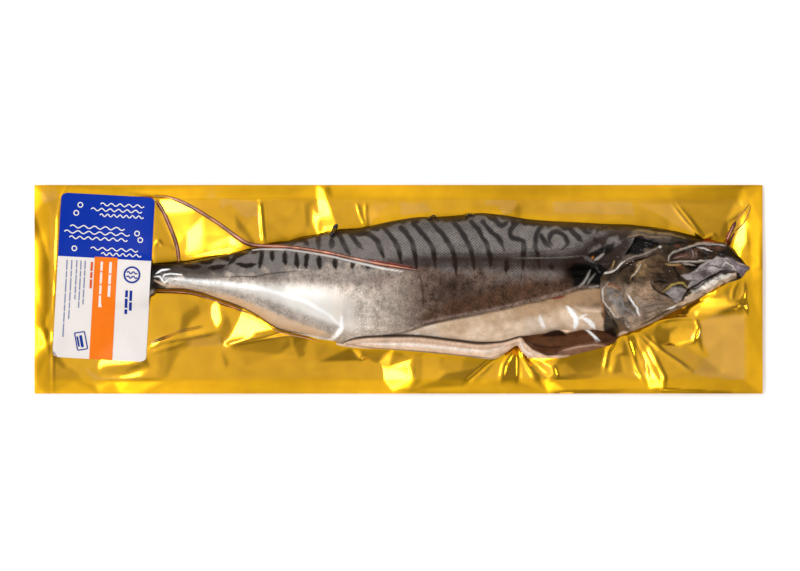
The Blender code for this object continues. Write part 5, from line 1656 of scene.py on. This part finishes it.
def printed(name, code, lines):
    """Ink lines on the label, each a half-width and a route in millimetres across and up it."""
    routes = []
    for half, route in lines:
        u, v = evenly(np.array(route, float), PRINT_SPACING, 2).T
        routes.append((on_label(u, v, 3 * INK_LIFT), np.full(len(u), half)))
    swept_piece(name, flat_sweep, routes, PRINT_SPACING, 3, print_material(name + "_ink", code, 0.04))


def word_rows(half, gap, rows):
    """Short bars that stand for words, in rows down the label from a start to a finish.

    A row is its place across the label, its start, its finish and its words' shares of that.
    """
    lines = []
    for u, start, finish, words in rows:
        scale = (start - finish - gap * (len(words) - 1)) / sum(words)
        v = start
        for length in words:
            lines.append((half, ((u, v), (u, v - scale * length))))
            v -= scale * length + gap
    return lines


def wave(u, v, length, height, crests):
    """A wavy line that starts here and runs across the label."""
    along = np.linspace(0, 1, 16 * crests + 1)
    return np.column_stack([u + length * along, v + height * np.sin(2 * math.pi * crests * along)])


def circle(u, v, radius, sides):
    """A closed round line about a place on the label."""
    turn = np.linspace(0, 2 * math.pi, sides + 1)
    return np.column_stack([u + radius * np.cos(turn), v + radius * np.sin(turn)])


# On the blue field: waves, each with its start and length, small rings, and two rows of bars.
WAVES = (
    (-4, 40, 24), (-9, 37, 28), (-4, 34, 24), (-20, 27, 30), (-23, 24, 36), (-20, 21, 32), (-8, 15.5, 26),
    (-2, 12.8, 22),
)
RINGS = ((-15, 39), (-17, 34.5), (17, 25), (19, 21.5), (-17, 15))
white_lines = [(0.3, wave(u, v, length, 0.75, 5 + row % 3)) for row, (u, v, length) in enumerate(WAVES)]
white_lines += [(0.3, circle(u, v, 1.3, 24)) for u, v in RINGS]
# How far up the label most rows of bars start.
ROWS_START = 8.5
white_lines += word_rows(1.15, 0.7, ((3.9, ROWS_START, -10.5, (6, 5, 6)),
                                     (-0.9, ROWS_START, -16.5, (4, 5, 4, 5))))
printed("label_white_print", "#e8e2dd", white_lines)

# On the white paper: a ring with two waves in it, a stamp with two bars in it, and rows of bars.
STAMP = ((-14.3, -31.5), (-8.9, -30.4), (-6.7, -39.7), (-12.1, -40.9), (-14.3, -31.5))
blue_lines = word_rows(0.75, 0.8, ((15.6, -6.5, -17.5, (5, 4)), (13.2, -6.5, -19.5, (3, 4, 2))))
blue_lines += [(0.5, circle(15.6, 2.2, 4.2, 48))]
blue_lines += [(0.35, wave(12.7, v, 5.8, 0.6, 2)) for v in (0.9, 3.3)]
blue_lines += [(0.3, STAMP), (0.75, ((-11, -32.6), (-9.5, -39))), (0.45, ((-12.8, -33.3), (-11.4, -38.8)))]
printed("label_blue_print", "#12308c", blue_lines)
printed("label_red_print", "#d8552a", word_rows(0.6, 0.7, ((-6.9, 8.0, -6.5, (3, 2, 3)),)))
SMALL_WORDS = (3, 2, 4, 3, 2, 3, 4)
SMALL_ROWS = ((-10.6, -15.5), (-12.9, -17.5), (-15.2, -13), (-18, -24), (-20.6, -34))
small_rows = []
for u, finish in SMALL_ROWS:
    words = 3 + round((ROWS_START - finish) / 12)
    small_rows.append((u, ROWS_START, finish, SMALL_WORDS[:words]))
printed("label_grey_print", "#7c86a8", word_rows(0.32, 0.6, small_rows))

# Floor, camera and lamps of the studio. None of this is part of the pack.
FLOOR_HALF = 3.0
floor_mesh = bpy.data.meshes.new("studio_floor")
floor_mesh.from_pydata([(-FLOOR_HALF, -FLOOR_HALF, 0), (FLOOR_HALF, -FLOOR_HALF, 0),
                        (FLOOR_HALF, FLOOR_HALF, 0), (-FLOOR_HALF, FLOOR_HALF, 0)], [], [(0, 1, 2, 3)])
floor = bpy.data.objects.new("studio_floor", floor_mesh)
bpy.context.scene.collection.objects.link(floor)
white, tree = new_material("matt_white_paper_sweep")
# Matt white paper, lit a little from within so that it burns out as in the photo.
bsdf = add_node(tree, "ShaderNodeBsdfPrincipled", {
    "Base Color": (0.93, 0.93, 0.93, 1), "Roughness": 0.9, "Specular IOR Level": 0.1,
    "Emission Color": (1, 1, 1, 1), "Emission Strength": 0.15})
add_node(tree, "ShaderNodeOutputMaterial", {"Surface": bsdf})
floor_mesh.materials.append(white)
floor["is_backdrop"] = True

# The camera hangs straight over this place, so high that the frame is this wide at the rim.
CAMERA_OVER, RIM_HEIGHT, FRAME_WIDTH = (0.82, 2.06), 2.5, 439.6
LENS, SENSOR = 400.0, 36.0
camera_data = bpy.data.cameras.new("camera")
camera_data.lens, camera_data.sensor_width = LENS, SENSOR
camera_data.clip_end = 20.0
camera = bpy.data.objects.new("camera", camera_data)
camera_height = RIM_HEIGHT + FRAME_WIDTH * LENS / SENSOR
camera.location = (CAMERA_OVER[0] * MM, CAMERA_OVER[1] * MM, camera_height * MM)
bpy.context.scene.collection.objects.link(camera)
bpy.context.scene.camera = camera

# Softboxes: how far each one hangs from the zenith towards the dim corner and to the left of it,
# both as tangents, its length across that way and its width in metres, and its radiance.
LAMP_HEIGHT = 2.0
for name, over, left, size, radiance in (
    ("key_softbox", -0.48, 0.0, (1.3, 0.3), 12.0),
    ("rim_softbox", 0.95, 0.1, (1.2, 0.2), 8.0),
):
    lamp = bpy.data.lights.new(name, "AREA")
    lamp.shape = "RECTANGLE"
    lamp.size, lamp.size_y = size
    lamp.energy = radiance * math.pi * size[0] * size[1]
    holder = bpy.data.objects.new(name, lamp)
    place = LAMP_HEIGHT * (over * DIM_CORNER + left * DIM_LEFT)
    holder.location = (place[0], place[1], LAMP_HEIGHT)
    holder.rotation_euler = holder.location.to_track_quat("Z", "Y").to_euler()
    holder.visible_camera = False
    bpy.context.scene.collection.objects.link(holder)

world = bpy.data.worlds.new("studio")
world.use_nodes = True
bpy.context.scene.world = world
tree = world.node_tree
tree.nodes.clear()
LEAST_RISE = 0.05
coords = add_node(tree, "ShaderNodeTexCoord")
parts = add_node(tree, "ShaderNodeSeparateXYZ", {"Vector": coords.outputs["Generated"]})
height = add_node(tree, "ShaderNodeMath", (parts.outputs["Z"], LEAST_RISE), operation="MAXIMUM")
# Radiance of the ceiling by tangent from the zenith, towards the dim corner and across that way.
TANGENT_REACH, BAND_TOP = 2.5, 3.0
bands = []
for way, stops in (
    (DIM_CORNER, ((-2.0, 1.5), (-0.9, 1.2), (-0.66, 1.3), (-0.48, 2.2), (-0.34, 1.5), (-0.22, 1.12),
        (-0.1, 1.0), (0.0, 0.9), (0.1, 0.76), (0.22, 0.54), (0.36, 0.36), (0.6, 0.34), (1.0, 0.8),
        (2.0, 1.4))),
    (DIM_LEFT, ((-2.0, 1.2), (-0.95, 0.8), (-0.7, 0.85), (-0.25, 1.0), (0.25, 1.0), (0.7, 0.85),
        (0.95, 0.8), (2.0, 1.2))),
):
    shadow = add_node(tree, "ShaderNodeVectorMath", (coords.outputs["Generated"], (*way, 0)),
                      operation="DOT_PRODUCT")
    tangent = add_node(tree, "ShaderNodeMath", (shadow.outputs["Value"], height), operation="DIVIDE")
    scaled = add_node(tree, "ShaderNodeMapRange", {
        "Value": tangent, "From Min": -TANGENT_REACH, "From Max": TANGENT_REACH})
    band = add_node(tree, "ShaderNodeFloatCurve", {"Value": scaled})
    curve = band.mapping.curves[0]
    curve.points[0].location = (0, stops[0][1] / BAND_TOP)
    curve.points[1].location = (1, stops[-1][1] / BAND_TOP)
    for place, value in stops:
        curve.points.new((place + TANGENT_REACH) / (2 * TANGENT_REACH), value / BAND_TOP)
    band.mapping.update()
    bands.append(band)
glow = add_node(tree, "ShaderNodeMath", bands, operation="MULTIPLY")
ceiling = add_node(tree, "ShaderNodeMath", (glow, BAND_TOP**2), operation="MULTIPLY")
background = add_node(tree, "ShaderNodeBackground", {"Strength": ceiling})
add_node(tree, "ShaderNodeOutputWorld", {"Surface": background})

bpy.context.scene.view_settings.view_transform = "Standard"

low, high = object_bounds()
{"cad": [list(cad_low), list(cad_high)], "visual": [list(low), list(high)]}
